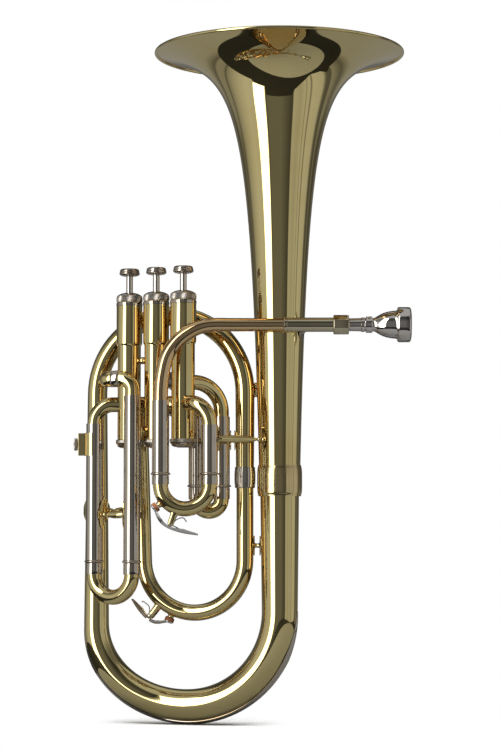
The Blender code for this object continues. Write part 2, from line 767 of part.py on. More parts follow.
def make_inner_loop():
    """The loop from the back of valve 3 down, round and up to the branch ferrule."""
    centre, along, bend = loop_frame()
    valve = VALVES[3]
    bend_in = LOOP_LEG_FROM_VALVE - LOWER_CASING_RADIUS
    leg = valve + ROW_BACK * LOOP_LEG_FROM_VALVE
    elbow_centre = place(leg - ROW_BACK * bend_in, LOW_PORT - bend_in)
    elbow = arc(elbow_centre, UP * bend_in, flat(ROW_BACK) * bend_in, math.pi / 2)
    turn = arc(centre, along * bend, -UP * bend, math.pi)
    path = [place(valve + ROW_BACK * 0.004, LOW_PORT)] + elbow + turn
    path.append(place(BRANCH_LEG, BRANCH_JOINT_HEIGHT - GAP))
    radii = tapered(path, LOOP_RADIUS_AT_VALVE, LOOP_RADIUS_AT_FERRULE)
    bores = [radius - TUBE_WALL for radius in radii]
    loop = hollow_tube("inner_loop", path, radii, bores, TUBE_SIDES)
    loop = fitted_to_casing(loop, 3)
    normal = along.cross(UP).normalized()
    pivot = in_plane(centre, along, LOOP_KEY_PIVOT)
    outward = (pivot - centre).normalized()
    surface = (pivot - centre).length - bend - LOOP_RADIUS_AT_VALVE
    loop = key_saddle(loop, pivot, outward, normal, surface)
    way = along * math.cos(LOOP_KEY_CORK_ANGLE) + UP * math.sin(LOOP_KEY_CORK_ANGLE)
    loop = key_nipple(loop, centre + way * bend, way, LOOP_RADIUS_AT_VALVE)
    shown(loop, BRASS)
    make_key("loop_key", centre, along, LOOP_KEY_CORK_ANGLE, bend, LOOP_RADIUS_AT_VALVE, LOOP_KEY_PIVOT,
             LOOP_KEY_TIP)


def make_leadpipe():
    """The rose brass pipe from the receiver round to the left tuning sleeve."""
    straight = place(Vector((LEADPIPE_END_X, TUNING_PLANE)), LEADPIPE_HEIGHT)
    bend = [place(Vector((x, TUNING_PLANE)), height) for x, height in LEADPIPE_BEND]
    end = place(Vector((TUNING_LEFT_X, TUNING_PLANE)), TUNING_LEFT_TOP)
    inside = place(Vector((TUNING_LEFT_X, TUNING_PLANE)), TUNING_LEFT_TOP - TUBE_INSERT)
    run = smooth_run(bend + [end], 2)
    path = [straight] + run + [inside]
    radii = tapered(path, LEADPIPE_RADIUS, TUBE_RADIUS)
    bores = [radius - LEADPIPE_WALL for radius in radii]
    return shown(hollow_tube("leadpipe", path, radii, bores, TUBE_SIDES), ROSE_BRASS)


RECEIVER_START = LEADPIPE_END_X + GAP
RECEIVER_END = RECEIVER_START + RECEIVER_LENGTH


def along_leadpipe(x):
    """The frame of a piece turned about the leadpipe's line, its Z towards the mouthpiece."""
    return aimed(place(Vector((x, TUNING_PLANE)), LEADPIPE_HEIGHT), Vector((1.0, 0.0, 0.0)))


def make_receiver():
    """The mouthpiece receiver: a ring, a tube, a faceted collar and a foot that is brazed to the bell."""
    length = RECEIVER_LENGTH
    profile = [(RECEIVER_RADIUS, length), (RECEIVER_RADIUS, RECEIVER_RING_LENGTH),
               (RECEIVER_RING_RADIUS, RECEIVER_RING_LENGTH), (RECEIVER_RING_RADIUS, 0.0),
               (SOCKET_END_RADIUS - 0.0004, 0.0), (SOCKET_END_RADIUS - 0.0004, length - SOCKET_DEPTH),
               (SOCKET_END_RADIUS, length - SOCKET_DEPTH), (SOCKET_MOUTH_RADIUS, length)]
    receiver = turned("mouthpiece_receiver", profile, along_leadpipe(RECEIVER_START), TUBE_SIDES + 4)
    line = Vector((1.0, 0.0, 0.0))
    mouth = place(Vector((RECEIVER_END, TUNING_PLANE)), LEADPIPE_HEIGHT)
    collar = rod("collar", mouth - line * (COLLAR_LENGTH + 0.0004), mouth - line * 0.0004, COLLAR_RADIUS, 8)
    seat = rod("seat", mouth - line * COLLAR_LENGTH * 2, mouth + line * 0.001, RECEIVER_RADIUS - 0.0002,
               TUBE_SIDES + 4)
    receiver = combined(receiver, combined(collar, seat, "DIFFERENCE"), "UNION")
    direction = Vector((math.sin(RECEIVER_BRACE_ANGLE), -math.cos(RECEIVER_BRACE_ANGLE)))
    bell = bell_radius_at(RECEIVER_BRACE_HEIGHT + RECEIVER_FOOT_LENGTH / 2)
    foot = make_foot(BELL_AXIS, bell, direction, RECEIVER_BRACE_HEIGHT, RECEIVER_FOOT_LENGTH)
    start = place(direction * (bell + GAP + FOOT_THICKNESS), RECEIVER_BRACE_HEIGHT)
    end = place(Vector((RECEIVER_BRACE_X, TUNING_PLANE + RECEIVER_RADIUS - 0.0002)), LEADPIPE_HEIGHT)
    bar = rod("bar", start, end, BRACE_ROD_RADIUS, BRACE_SIDES)
    receiver = combined(receiver, combined(foot, bar, "UNION"), "UNION")
    return shown(receiver, NICKEL)


def make_mouthpiece():
    """The cup mouthpiece, its shank inside the receiver, bored right through."""
    shank = SOCKET_DEPTH - 0.0005
    first = SHANK_LENGTH
    rings = first + MOUTHPIECE_RINGS_LENGTH
    cup = rings + CUP_LENGTH
    end = cup + RIM_LENGTH
    rim = MOUTHPIECE_RIM_RADIUS
    bore = MOUTHPIECE_BORE
    throat = end - MOUTHPIECE_THROAT_DEPTH
    mouth = CUP_MOUTH_RADIUS
    narrow = SOCKET_END_RADIUS - GAP
    wide = SOCKET_MOUTH_RADIUS - GAP
    profile = [(rim - 0.0042, end), (rim - 0.0016, end - 0.0006), (rim, end - 0.0022), (rim, cup + 0.0004),
               (0.0114, cup - 0.0016), (0.0105, rings + 0.0117), (0.0086, rings + 0.0059),
               (0.0058, rings + 0.0016), (0.0055, rings - 0.0010), (0.0067, rings - 0.0018),
               (0.0067, rings - 0.0059), (0.0055, rings - 0.0064), (0.0058, rings - 0.0069),
               (0.0058, first + 0.0004), (wide, first), (wide, 0.0), (narrow, -shank),
               (bore + 0.0006, -shank), (bore, throat - 0.004), (bore, throat),
               (mouth * 0.62, throat + 0.0070), (mouth * 0.92, throat + 0.0150), (mouth, end - 0.0022),
               (mouth + 0.0009, end - 0.0006)]
    frame = along_leadpipe(RECEIVER_END)
    return shown(turned("mouthpiece", profile, frame, TUBE_SIDES + 8), SILVER)


def sleeve_profile(top, ring):
    """The section of an outer slide tube with its ring."""
    half = SLIDE_RING_HEIGHT / 2
    return [(SLEEVE_RADIUS, top), (SLEEVE_RADIUS, ring + half), (SLIDE_RING_RADIUS, ring + half * 0.4),
            (SLIDE_RING_RADIUS, ring - half * 0.4), (SLEEVE_RADIUS, ring - half),
            (SLEEVE_BORE, ring - half), (SLEEVE_BORE, top)]


def make_sleeve(name, frame, top, ring):
    """An outer slide tube with a bead ring at its open end; heights are along the frame's Z."""
    return shown(turned(name, sleeve_profile(top, ring), frame, SLEEVE_SIDES), NICKEL)


def slide_stations(side, leg_top, ring, spring):
    """Points and radii down one leg of a slide, whose axis passes through side, to the end of its ferrule."""
    stop = ring - SLIDE_RING_HEIGHT / 2 - GAP
    step = 0.0001
    places = [side(leg_top), side(stop), side(stop - step), side(spring + step), side(spring)]
    radii = [SLIDE_LEG_RADIUS, SLIDE_LEG_RADIUS, SLEEVE_RADIUS, SLEEVE_RADIUS, TUBE_RADIUS]
    return places, radii


def make_slide(name, first, second, out, leg_top, ring, spring):
    """A tuning slide: two legs, two ferrules and a bow. first and second give points up each leg."""
    left, left_radii = slide_stations(first, leg_top, ring, spring)
    right, right_radii = slide_stations(second, leg_top, ring, spring)
    middle = (first(spring) + second(spring)) / 2
    side = first(spring) - middle
    turn = arc(middle, side, out * side.length, math.pi)[1:-1]
    path = left + turn + right[::-1]
    radii = left_radii + [TUBE_RADIUS] * len(turn) + right_radii[::-1]
    bores = [SLIDE_BORE] * len(path)
    return hollow_tube(name, path, radii, bores, SLEEVE_SIDES)


def elbow_to_valve(name, leg, top, number, port, bend):
    """A tube up out of a sleeve that bends towards a valve's axis and sits on its casing."""
    valve = VALVES[number]
    towards = (valve - leg).normalized()
    centre = place(leg + towards * bend, port - bend)
    turn = arc(centre, flat(-towards) * bend, UP * bend, math.pi / 2)
    path = [place(leg, top - TUBE_INSERT)] + turn + [place(valve - towards * 0.004, port)]
    return finished_elbow(name, path, number)


def finished_elbow(name, path, number):
    """A brass tube along a path that ends on a valve casing."""
    radii = [TUBE_RADIUS] * len(path)
    bores = [TUBE_RADIUS - TUBE_WALL] * len(path)
    elbow = hollow_tube(name, path, radii, bores, TUBE_SIDES)
    return shown(fitted_to_casing(elbow, number), BRASS)


def make_tuning_slide():
    """The main tuning slide with its sleeves, the elbow into valve 1 and the water key."""
    left = Vector((TUNING_LEFT_X, TUNING_PLANE))
    right = Vector((TUNING_RIGHT_X, TUNING_PLANE))
    make_sleeve("tuning_sleeve_left", upright(left), TUNING_LEFT_TOP, TUNING_RING)
    make_sleeve("tuning_sleeve_right", upright(right), TUNING_RIGHT_TOP, TUNING_RING)
    valve = VALVES[1]
    way = flat(TUNING_PORT_WAY)
    port = place(valve, LOW_PORT) + way * LOWER_CASING_RADIUS
    top = place(right, TUNING_RIGHT_TOP)
    turn = curved(top, top + UP * 0.0130, port + way * 0.0125, port, 6)
    path = [place(right, TUNING_RIGHT_TOP - TUBE_INSERT)] + turn + [port - way * 0.005]
    finished_elbow("tuning_elbow", path, 1)
    leg_top = TUNING_RIGHT_TOP - TUBE_INSERT - 0.001
    slide = make_slide("tuning_slide", lambda z: place(left, z), lambda z: place(right, z), -UP, leg_top,
                       TUNING_RING, TUNING_SPRING)
    centre = place((left + right) / 2, TUNING_SPRING)
    along = Vector((1.0, 0.0, 0.0))
    normal = along.cross(UP).normalized()
    bend = (right - left).length / 2
    pivot = in_plane(centre, along, TUNING_KEY_PIVOT)
    outward = (pivot - centre).normalized()
    surface = (pivot - centre).length - bend - TUBE_RADIUS
    slide = key_saddle(slide, pivot, outward, normal, surface)
    way = along * math.cos(TUNING_KEY_CORK_ANGLE) + UP * math.sin(TUNING_KEY_CORK_ANGLE)
    slide = key_nipple(slide, centre + way * bend, way, TUBE_RADIUS)
    shown(slide, BRASS)
    make_key("tuning_key", centre, along, TUNING_KEY_CORK_ANGLE, bend, TUBE_RADIUS, TUNING_KEY_PIVOT,
             TUNING_KEY_TIP)


def make_third_slide():
    """The long slide of valve 3 with its sleeves and both elbows."""
    make_sleeve("slide_3_sleeve_left", upright(SLIDE_3_LEFT), SLIDE_3_LEFT_TOP, SLIDE_3_RING)
    make_sleeve("slide_3_sleeve_right", upright(SLIDE_3_RIGHT), SLIDE_3_RIGHT_TOP, SLIDE_3_RING)
    low_bend = LOW_PORT - SLIDE_3_LEFT_TOP - 0.0006
    elbow_to_valve("slide_3_elbow_low", SLIDE_3_LEFT, SLIDE_3_LEFT_TOP, 3, LOW_PORT, low_bend)
    make_high_elbow()
    leg_top = SLIDE_3_LEFT_TOP - TUBE_INSERT - 0.001
    slide = make_slide("slide_3", lambda z: place(SLIDE_3_LEFT, z), lambda z: place(SLIDE_3_RIGHT, z), -UP,
                       leg_top, SLIDE_3_RING, SLIDE_3_SPRING)
    shown(slide, BRASS)


def make_high_elbow():
    """The tube that rises in front of valve 3, turns left and folds back into its side."""
    valve = VALVES[3]
    left = Vector((-1.0, 0.0, 0.0))
    back = Vector((0.0, 1.0, 0.0))
    rise = place(SLIDE_3_RIGHT, HIGH_PORT_3 - SLIDE_3_BEND) + left * SLIDE_3_BEND
    path = [place(SLIDE_3_RIGHT, SLIDE_3_RIGHT_TOP - TUBE_INSERT)]
    path += arc(rise, -left * SLIDE_3_BEND, UP * SLIDE_3_BEND, math.pi / 2)
    front = place(Vector((SLIDE_3_TURN_X, SLIDE_3_RIGHT.y + SLIDE_3_TURN)), HIGH_PORT_3)
    path += arc(front, -back * SLIDE_3_TURN, left * SLIDE_3_TURN, math.pi / 2)
    rear = place(Vector((SLIDE_3_TURN_X, valve.y - SLIDE_3_TURN)), HIGH_PORT_3)
    path += arc(rear, left * SLIDE_3_TURN, back * SLIDE_3_TURN, math.pi / 2)
    path.append(place(valve - Vector((0.004, 0.0)), HIGH_PORT_3))
    finished_elbow("slide_3_elbow_high", path, 3)


def make_first_slide():
    """The slide of valve 1 with its sleeves and both elbows."""
    make_sleeve("slide_1_sleeve_left", upright(SLIDE_1_LEFT), SLIDE_1_TOP, SLIDE_1_RING)
    make_sleeve("slide_1_sleeve_right", upright(SLIDE_1_RIGHT), SLIDE_1_TOP, SLIDE_1_RING)
    elbow_to_valve("slide_1_elbow_side", SLIDE_1_RIGHT, SLIDE_1_TOP, 1, HIGH_PORT_1, SLIDE_1_SIDE_BEND)
    back_bend = BACK_PORT_1 - SLIDE_1_TOP - 0.0003
    elbow_to_valve("slide_1_elbow_back", SLIDE_1_LEFT, SLIDE_1_TOP, 1, BACK_PORT_1, back_bend)
    leg_top = SLIDE_1_TOP - TUBE_INSERT - 0.001
    slide = make_slide("slide_1", lambda z: place(SLIDE_1_LEFT, z), lambda z: place(SLIDE_1_RIGHT, z), -UP,
                       leg_top, SLIDE_1_RING, SLIDE_1_SPRING)
    shown(slide, BRASS)


def make_second_slide():
    """The short slide of valve 2, pointing away behind it."""
    valve = VALVES[2]
    near = LOWER_CASING_RADIUS * 0.6
    far = LOWER_CASING_RADIUS + SLIDE_2_SLEEVE_LENGTH
    for name, port in (("slide_2_sleeve_high", HIGH_PORT_2), ("slide_2_sleeve_low", LOW_PORT_2)):
        frame = aimed(place(valve, port), flat(-ROW_BACK))
        sleeve = turned(name, sleeve_profile(-near, -far), frame, SLEEVE_SIDES)
        shown(fitted_to_casing(sleeve, 2), NICKEL)

    def leg(port):
        return lambda reach: place(valve - ROW_BACK * reach, port)

    leg_top = -(LOWER_CASING_RADIUS + 0.003)
    spring = -far - SLIDE_RING_HEIGHT / 2 - SLIDE_2_FERRULE
    slide = make_slide("slide_2", leg(HIGH_PORT_2), leg(LOW_PORT_2), flat(ROW_BACK), leg_top, -far, spring)
    shown(slide, BRASS)


def valve_ports(number):
    """Directions and heights of the holes in a valve's casing."""
    valve = VALVES[number]
    if number == 1:
        side = (SLIDE_1_RIGHT - valve).normalized()
        back = (SLIDE_1_LEFT - valve).normalized()
        return [(TUNING_PORT_WAY, LOW_PORT), (side, HIGH_PORT_1), (back, BACK_PORT_1), (-ROW, LOW_PORT)]
    if number == 2:
        return [(ROW, LOW_PORT), (-ROW, LOW_PORT), (ROW_BACK, HIGH_PORT_2), (ROW_BACK, LOW_PORT_2)]
    low = (SLIDE_3_LEFT - valve).normalized()
    return [(ROW, LOW_PORT), (ROW_BACK, LOW_PORT), (low, LOW_PORT), (Vector((-1.0, 0.0)), HIGH_PORT_3)]


def make_casing(number):
    """A valve casing: tube with a wider upper part, a threaded neck, port holes and the guide bar."""
    name = "valve_%d_casing" % number
    valve = VALVES[number]
    profile = [(THREAD_RADIUS, CASING_TOP), (THREAD_RADIUS, CASING_SHOULDER),
               (UPPER_CASING_RADIUS, CASING_SHOULDER), (UPPER_CASING_RADIUS, CASING_STEP_HEIGHT + 0.0016),
               (LOWER_CASING_RADIUS, CASING_STEP_HEIGHT), (LOWER_CASING_RADIUS, CASING_BOTTOM),
               (LOWER_BORE, CASING_BOTTOM), (LOWER_BORE, LEDGE_HEIGHT), (UPPER_BORE, LEDGE_HEIGHT),
               (UPPER_BORE, CASING_TOP)]
    casing = turned(name, profile, upright(valve), CASING_SIDES)
    for direction, height in valve_ports(number):
        start = place(valve, height)
        end = place(valve + direction * (LOWER_CASING_RADIUS + 0.002), height)
        casing = combined(casing, rod("port", start, end, PORT_RADIUS, 10), "DIFFERENCE")
    middle = GUIDE_BOTTOM + GUIDE_THICKNESS / 2
    bar = box("bar", (2 * (LOWER_BORE + GUIDE_EMBED), GUIDE_WIDTH, GUIDE_THICKNESS), upright(valve, middle))
    hub = rod("hub", place(valve, GUIDE_BOTTOM), place(valve, GUIDE_BOTTOM + GUIDE_THICKNESS),
              BARREL_BORE - GAP * 1.5, 12)
    casing = combined(casing, combined(bar, hub, "UNION"), "UNION")
    if number == 2:
        casing = with_ties(casing)
    return shown(casing, BRASS)


def with_ties(casing):
    """The middle casing with the two tie balls that hold the outer casings."""
    reach = VALVE_PITCH - LOWER_CASING_RADIUS - GAP
    for side in (ROW, -ROW):
        start = place(VALVES[2] + side * (LOWER_BORE + 0.0003), TIE_HEIGHT)
        end = place(VALVES[2] + side * reach, TIE_HEIGHT)
        tie = rod("tie", start, end, TIE_ROD_RADIUS, BRACE_SIDES)
        centre = place(VALVES[2] + side * VALVE_PITCH / 2, TIE_HEIGHT)
        tie = combined(tie, ball("tie_ball", centre, TIE_BALL_RADIUS, BRACE_SIDES), "UNION")
        casing = combined(casing, tie, "UNION")
    return casing


def make_caps(number):
    """The screw caps at both ends of a casing."""
    valve = VALVES[number]
    low = CASING_SHOULDER + GAP
    top = low + CAP_HEIGHT
    bore = THREAD_RADIUS + GAP
    hole = STEM_RADIUS + GAP
    crown = top - CAP_CROWN_DROP
    profile = [(hole, top), (CAP_CROWN_RADIUS, crown), (CAP_RADIUS * 0.88, top - CAP_DOME * 0.58),
               (CAP_RADIUS, top - CAP_DOME), (CAP_RADIUS, low), (bore, low), (bore, CASING_TOP + GAP),
               (CAP_CROWN_RADIUS - CAP_WALL / 2, crown - CAP_WALL), (hole, top - CAP_WALL)]
    shown(turned("valve_%d_top_cap" % number, profile, upright(valve), CASING_SIDES), NICKEL)
    rim = CASING_BOTTOM + BOTTOM_CAP_GRIP
    base = rim - BOTTOM_CAP_HEIGHT
    radius = BOTTOM_CAP_RADIUS
    bore = LOWER_CASING_RADIUS + GAP
    profile = [(0.0, base + BOTTOM_CAP_FLOOR), (radius * 0.70, base + BOTTOM_CAP_FLOOR),
               (bore, CASING_BOTTOM - GAP), (bore, rim), (radius, rim), (radius, rim - BOTTOM_CAP_GRIP),
               (radius * 0.86, base + BOTTOM_CAP_FLOOR), (radius * 0.5, base), (0.0, base)]
    cap = turned("valve_%d_bottom_cap" % number, profile, upright(valve), CASING_SIDES, ring=False)
    shown(cap, NICKEL)


def make_piston(number):
    """A ported piston with the slotted barrel that holds its spring."""
    name = "valve_%d_piston" % number
    valve = VALVES[number]
    radius = LOWER_BORE - GAP * 1.2
    profile = [(0.0, BARREL_TOP), (BARREL_RADIUS, BARREL_TOP), (BARREL_RADIUS, PISTON_TOP + 0.0006),
               (radius, PISTON_TOP), (radius, PISTON_BOTTOM), (radius - 0.0014, PISTON_BOTTOM),
               (radius - 0.0014, PISTON_BOTTOM + 0.004), (0.0, PISTON_BOTTOM + 0.004)]
    piston = turned(name, profile, upright(valve), CASING_SIDES, ring=False)
    for direction, height in ((ROW, LOW_PORT), (ROW_BACK, LOW_PORT + VALVE_TRAVEL)):
        reach = flat(direction) * LOWER_CASING_RADIUS
        middle = place(valve, height)
        passage = rod("passage", middle - reach, middle + reach, PASSAGE_RADIUS, 10)
        piston = combined(piston, passage, "DIFFERENCE")
    cavity_low = PISTON_TOP + 0.0008
    slot_top = GUIDE_BOTTOM + GUIDE_THICKNESS + VALVE_TRAVEL + 0.0010
    slot = box("slot", (4 * BARREL_RADIUS, GUIDE_WIDTH + GAP * 3, slot_top - cavity_low),
               upright(valve, (slot_top + cavity_low) / 2))
    cavity = rod("cavity", place(valve, cavity_low), place(valve, BARREL_TOP - BARREL_PLATE), BARREL_BORE, 14)
    return shown(combined(piston, combined(slot, cavity, "UNION"), "DIFFERENCE"), NICKEL)


def make_spring(number):
    """The coil between the guide bar and the top of the barrel."""
    low = GUIDE_BOTTOM + GUIDE_THICKNESS + GAP + SPRING_WIRE_RADIUS
    high = BARREL_TOP - BARREL_PLATE - GAP - SPRING_WIRE_RADIUS
    steps = SPRING_TURNS * 8
    path = []
    for i in range(steps + 1):
        turn = 2 * math.pi * SPRING_TURNS * i / steps
        round_axis = Vector((math.cos(turn), math.sin(turn))) * SPRING_COIL_RADIUS
        path.append(place(VALVES[number] + round_axis, low + (high - low) * i / steps))
    radii = [SPRING_WIRE_RADIUS] * len(path)
    return shown(solid_tube("valve_%d_spring" % number, path, radii, 4), STEEL)


def make_button(number):
    """The stem that screws into the barrel, with its finger button."""
    top = BUTTON_TOP
    low = top - BUTTON_HEIGHT
    belly = low + BUTTON_HEIGHT * 0.42
    profile = [(0.0, top), (BUTTON_TOP_RADIUS - 0.0008, top), (BUTTON_TOP_RADIUS, top - 0.0007),
               (BUTTON_RADIUS, belly), (BUTTON_RADIUS * 0.8, low + BUTTON_HEIGHT * 0.14), (STEM_RADIUS, low),
               (STEM_RADIUS, BARREL_TOP + GAP), (0.0, BARREL_TOP + GAP)]
    button = turned("valve_%d_button" % number, profile, upright(VALVES[number]), SLEEVE_SIDES, ring=False)
    return shown(button, SILVER)


def make_knuckle(first, second):
    """The short tube between two casings."""
    start = place(VALVES[first], LOW_PORT)
    end = place(VALVES[second], LOW_PORT)
    name = "knuckle_%d_%d" % (first, second)
    step = (end - start) * 0.3
    path = [start + step, end - step]
    radii = [TUBE_RADIUS] * 2
    knuckle = hollow_tube(name, path, radii, [TUBE_RADIUS - TUBE_WALL] * 2, TUBE_SIDES)
    return shown(fitted_to_casing(fitted_to_casing(knuckle, first), second), BRASS)


def make_foot(plan, radius, direction, height, length):
    """A lozenge plate that lies round a vertical tube, for a brace to stand on."""
    low = radius + GAP
    high = low + FOOT_THICKNESS
    half = length / 2
    profile = [(high, length), (high, -length), (low, -length), (low, length)]
    facing = Matrix.Rotation(math.atan2(direction.y, direction.x) + math.pi / FOOT_SIDES, 4, "Z")
    shell = turned("foot", profile, upright(plan, height) @ facing, FOOT_SIDES)
    across = flat(Vector((-direction.y, direction.x))) * FOOT_WIDTH / 2
    start = place(plan + direction * radius * 0.3, height)
    outline = [start + across, start + UP * half, start - across, start - UP * half]
    return combined(shell, prism("lozenge", outline, flat(direction) * high), "INTERSECT")


def spindle(name, start, end, waist):
    """A turned brace rod with a ball near each end and a swollen middle."""
    run = end - start
    ball_share = BRACE_BALL_RADIUS * 1.6 / run.length
    shares = [0.0, ball_share * 0.5, ball_share, ball_share * 1.6, 0.5, 1 - ball_share * 1.6, 1 - ball_share,
              1 - ball_share * 0.5, 1.0]
    radii = [BRACE_ROD_RADIUS, BRACE_BALL_RADIUS * 0.8, BRACE_BALL_RADIUS, BRACE_ROD_RADIUS, waist,
             BRACE_ROD_RADIUS, BRACE_BALL_RADIUS, BRACE_BALL_RADIUS * 0.8, BRACE_ROD_RADIUS]
    path = [start + run * share for share in shares]
    return solid_tube(name, path, radii, BRACE_SIDES)


def make_brace(name, first, second, height, waist, foot_length):
    """A spindle between two vertical tubes, each given as (plan position, radius, foot direction)."""
    ends = []
    feet = []
    for plan, radius, direction in (first, second):
        ends.append(place(plan + direction * (radius + GAP + FOOT_THICKNESS / 2), height))
        feet.append(make_foot(plan, radius, direction, height, foot_length))
    run = ends[1] - ends[0]
    if run.length > BRACE_BALL_RADIUS * 8:
        brace = spindle(name, ends[0], ends[1], waist)
    else:
        brace = rod(name, ends[0], ends[1], waist, BRACE_SIDES)
    for foot in feet:
        brace = combined(brace, foot, "UNION")
    return shown(brace, BRASS)


def between(first, second):
    """The horizontal direction from one plan position to another."""
    return (second - first).normalized()


def loop_leg_at(height):
    """Plan position of the inner loop's left leg, which leans a little."""
    top = VALVES[3] + ROW_BACK * LOOP_LEG_FROM_VALVE
    top_height = LOW_PORT - (LOOP_LEG_FROM_VALVE - LOWER_CASING_RADIUS)
    share = (height - LOOP_SPRING_HEIGHT) / (top_height - LOOP_SPRING_HEIGHT)
    return LOOP_LEFT_LEG + (top - LOOP_LEFT_LEG) * share


def make_braces():
    """Every brace that holds the tubes apart."""
    right = Vector((TUNING_RIGHT_X, TUNING_PLANE))
    bell_way = Vector((-math.sin(BELL_BRACE_ANGLE), -math.cos(BELL_BRACE_ANGLE)))
    height = BELL_JOINT_HEIGHT + BELL_FERRULE_LENGTH / 2 + BELL_BRACE_ABOVE_FERRULE
    bell = bell_radius_at(height + BELL_FOOT_LENGTH / 2)
    sleeve_way = between(right, bell_way * bell)
    make_brace("brace_tuning_bell", (right, SLEEVE_RADIUS, sleeve_way), (BELL_AXIS, bell, bell_way),
               height, BRACE_SPINDLE_RADIUS, BELL_FOOT_LENGTH)
    way = between(SLIDE_3_RIGHT, VALVES[2])
    make_brace("brace_slide_3_valve", (SLIDE_3_RIGHT, SLEEVE_RADIUS, way),
               (VALVES[2], LOWER_CASING_RADIUS, -way), VALVE_BRACE_HEIGHT, BRACE_BALL_RADIUS, VALVE_FOOT_LENGTH)
    way = between(SLIDE_1_RIGHT, BRANCH_LEG)
    branch = BRANCH_RADIUS_AT_FERRULE + GAP
    height = BRANCH_JOINT_HEIGHT + BRANCH_FERRULE_LENGTH / 2 + SIDE_BRACE_ABOVE_FERRULE
    make_brace("brace_slide_1_branch", (SLIDE_1_RIGHT, SLEEVE_RADIUS, way), (BRANCH_LEG, branch, -way),
               height, BRACE_ROD_RADIUS, FOOT_LENGTH)
    way = between(BRANCH_LEG, BELL_AXIS)
    height = RIM_HEIGHT - BRANCH_BRACE_BELOW_RIM
    bell = bell_radius_at(height + BRANCH_FOOT_LENGTH / 2)
    make_brace("brace_branch_bell", (BRANCH_LEG, branch, way), (BELL_AXIS, bell, -way),
               height, BRACE_BALL_RADIUS, BRANCH_FOOT_LENGTH)
    foot_top = LOOP_BRACE_HEIGHT + FOOT_LENGTH / 2
    share = (foot_top - BOW_SPRING_HEIGHT) / (BELL_JOINT_HEIGHT - BOW_SPRING_HEIGHT)
    bow = BOW_RADIUS_AT_SPRING + (BOW_RADIUS_AT_BELL - BOW_RADIUS_AT_SPRING) * share
    make_brace("brace_loop_bell", (BRANCH_LEG, LOOP_RADIUS_AT_FERRULE, way), (BELL_AXIS, bow, -way),
               LOOP_BRACE_HEIGHT, BRACE_BALL_RADIUS, FOOT_LENGTH)
    way = between(SLIDE_3_LEFT, SLIDE_3_RIGHT)
    make_brace("brace_slide_3", (SLIDE_3_LEFT, SLEEVE_RADIUS, way), (SLIDE_3_RIGHT, SLEEVE_RADIUS, -way),
               SLIDE_3_BRACE_HEIGHT, BRACE_SPINDLE_RADIUS, FOOT_LENGTH)
    leg = loop_leg_at(LEFT_BRACE_HEIGHT)
    way = between(LEFT_LEG, leg)
    left = BOW_RADIUS_AT_LEFT - BOW_WALL
    make_brace("brace_left_leg", (LEFT_LEG, left, way), (leg, LOOP_RADIUS_AT_VALVE + GAP, -way),
               LEFT_BRACE_HEIGHT, BRACE_SPINDLE_RADIUS, LEFT_FOOT_LENGTH)


def make_lyre_holder():
    """The lyre socket on the left sleeve of slide 3, with its thumb screw."""
    middle = LYRE_BOTTOM + LYRE_HEIGHT / 2
    sleeve = SLIDE_3_LEFT
    centre = sleeve - Vector((SLEEVE_RADIUS + GAP + LYRE_WIDTH / 2, 0.0))
    holder = box("lyre_holder", (LYRE_WIDTH, LYRE_DEPTH, LYRE_HEIGHT), upright(centre, middle))
    half = LYRE_HEIGHT / 2
    low = SLEEVE_RADIUS + GAP
    profile = [(low + LYRE_SADDLE, half), (low + LYRE_SADDLE, -half), (low, -half), (low, half)]
    saddle = turned("saddle", profile, upright(sleeve, middle), 24)
    keep = box("keep", (0.02, 0.03, LYRE_HEIGHT * 2), upright(sleeve - Vector((0.0115, 0.0)), middle))
    saddle = combined(saddle, keep, "INTERSECT")
    space_bottom = place(sleeve, LYRE_BOTTOM - 0.01)
    space_top = place(sleeve, LYRE_BOTTOM + LYRE_HEIGHT + 0.01)
    space = rod("space", space_bottom, space_top, low, 24)
    holder = combined(holder, space, "DIFFERENCE")
    holder = combined(holder, saddle, "UNION")
    slot = box("slot", (LYRE_SLOT_WIDTH, LYRE_SLOT_DEPTH, LYRE_HEIGHT * 2), upright(centre, middle))
    holder = combined(holder, slot, "DIFFERENCE")
    left = Vector((-1.0, 0.0, 0.0))
    axis = place(centre, middle)
    hole = rod("hole", axis, axis + left * LYRE_WIDTH, LYRE_SCREW_RADIUS + GAP, 10)
    shown(combined(holder, hole, "DIFFERENCE"), BRASS)
    face = LYRE_WIDTH / 2 + LYRE_NECK
    inner = LYRE_SLOT_WIDTH / 2 + 0.0002
    profile = [(0.0, face + LYRE_HEAD_THICKNESS), (LYRE_HEAD_RADIUS, face + LYRE_HEAD_THICKNESS),
               (LYRE_HEAD_RADIUS, face), (LYRE_SCREW_RADIUS, face), (LYRE_SCREW_RADIUS, inner), (0.0, inner)]
    shown(turned("lyre_screw", profile, aimed(axis, left), 14, ring=False), NICKEL)


clear_scene()
make_bell()
make_ferrule("bell_ferrule", BELL_AXIS, BELL_JOINT_HEIGHT, BELL_FERRULE_LENGTH,
             bell_radius_at(BELL_JOINT_HEIGHT + BELL_FERRULE_LENGTH / 2), 24, BRASS)
make_bottom_bow()
make_bow_guard()
make_top_bow()
make_ferrule("branch_ferrule", BRANCH_LEG, BRANCH_JOINT_HEIGHT, BRANCH_FERRULE_LENGTH,
             BRANCH_RADIUS_AT_FERRULE + 0.0001, 14, NICKEL)
make_inner_loop()
make_leadpipe()
make_receiver()
make_mouthpiece()
make_tuning_slide()
make_third_slide()
make_first_slide()
make_second_slide()
for valve_number in VALVES:
    make_casing(valve_number)
    make_caps(valve_number)
    make_piston(valve_number)
    make_spring(valve_number)
    make_button(valve_number)
make_knuckle(1, 2)
make_knuckle(2, 3)
make_braces()
make_lyre_holder()
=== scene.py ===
import math

import bmesh
import bpy
from mathutils import Matrix, Vector


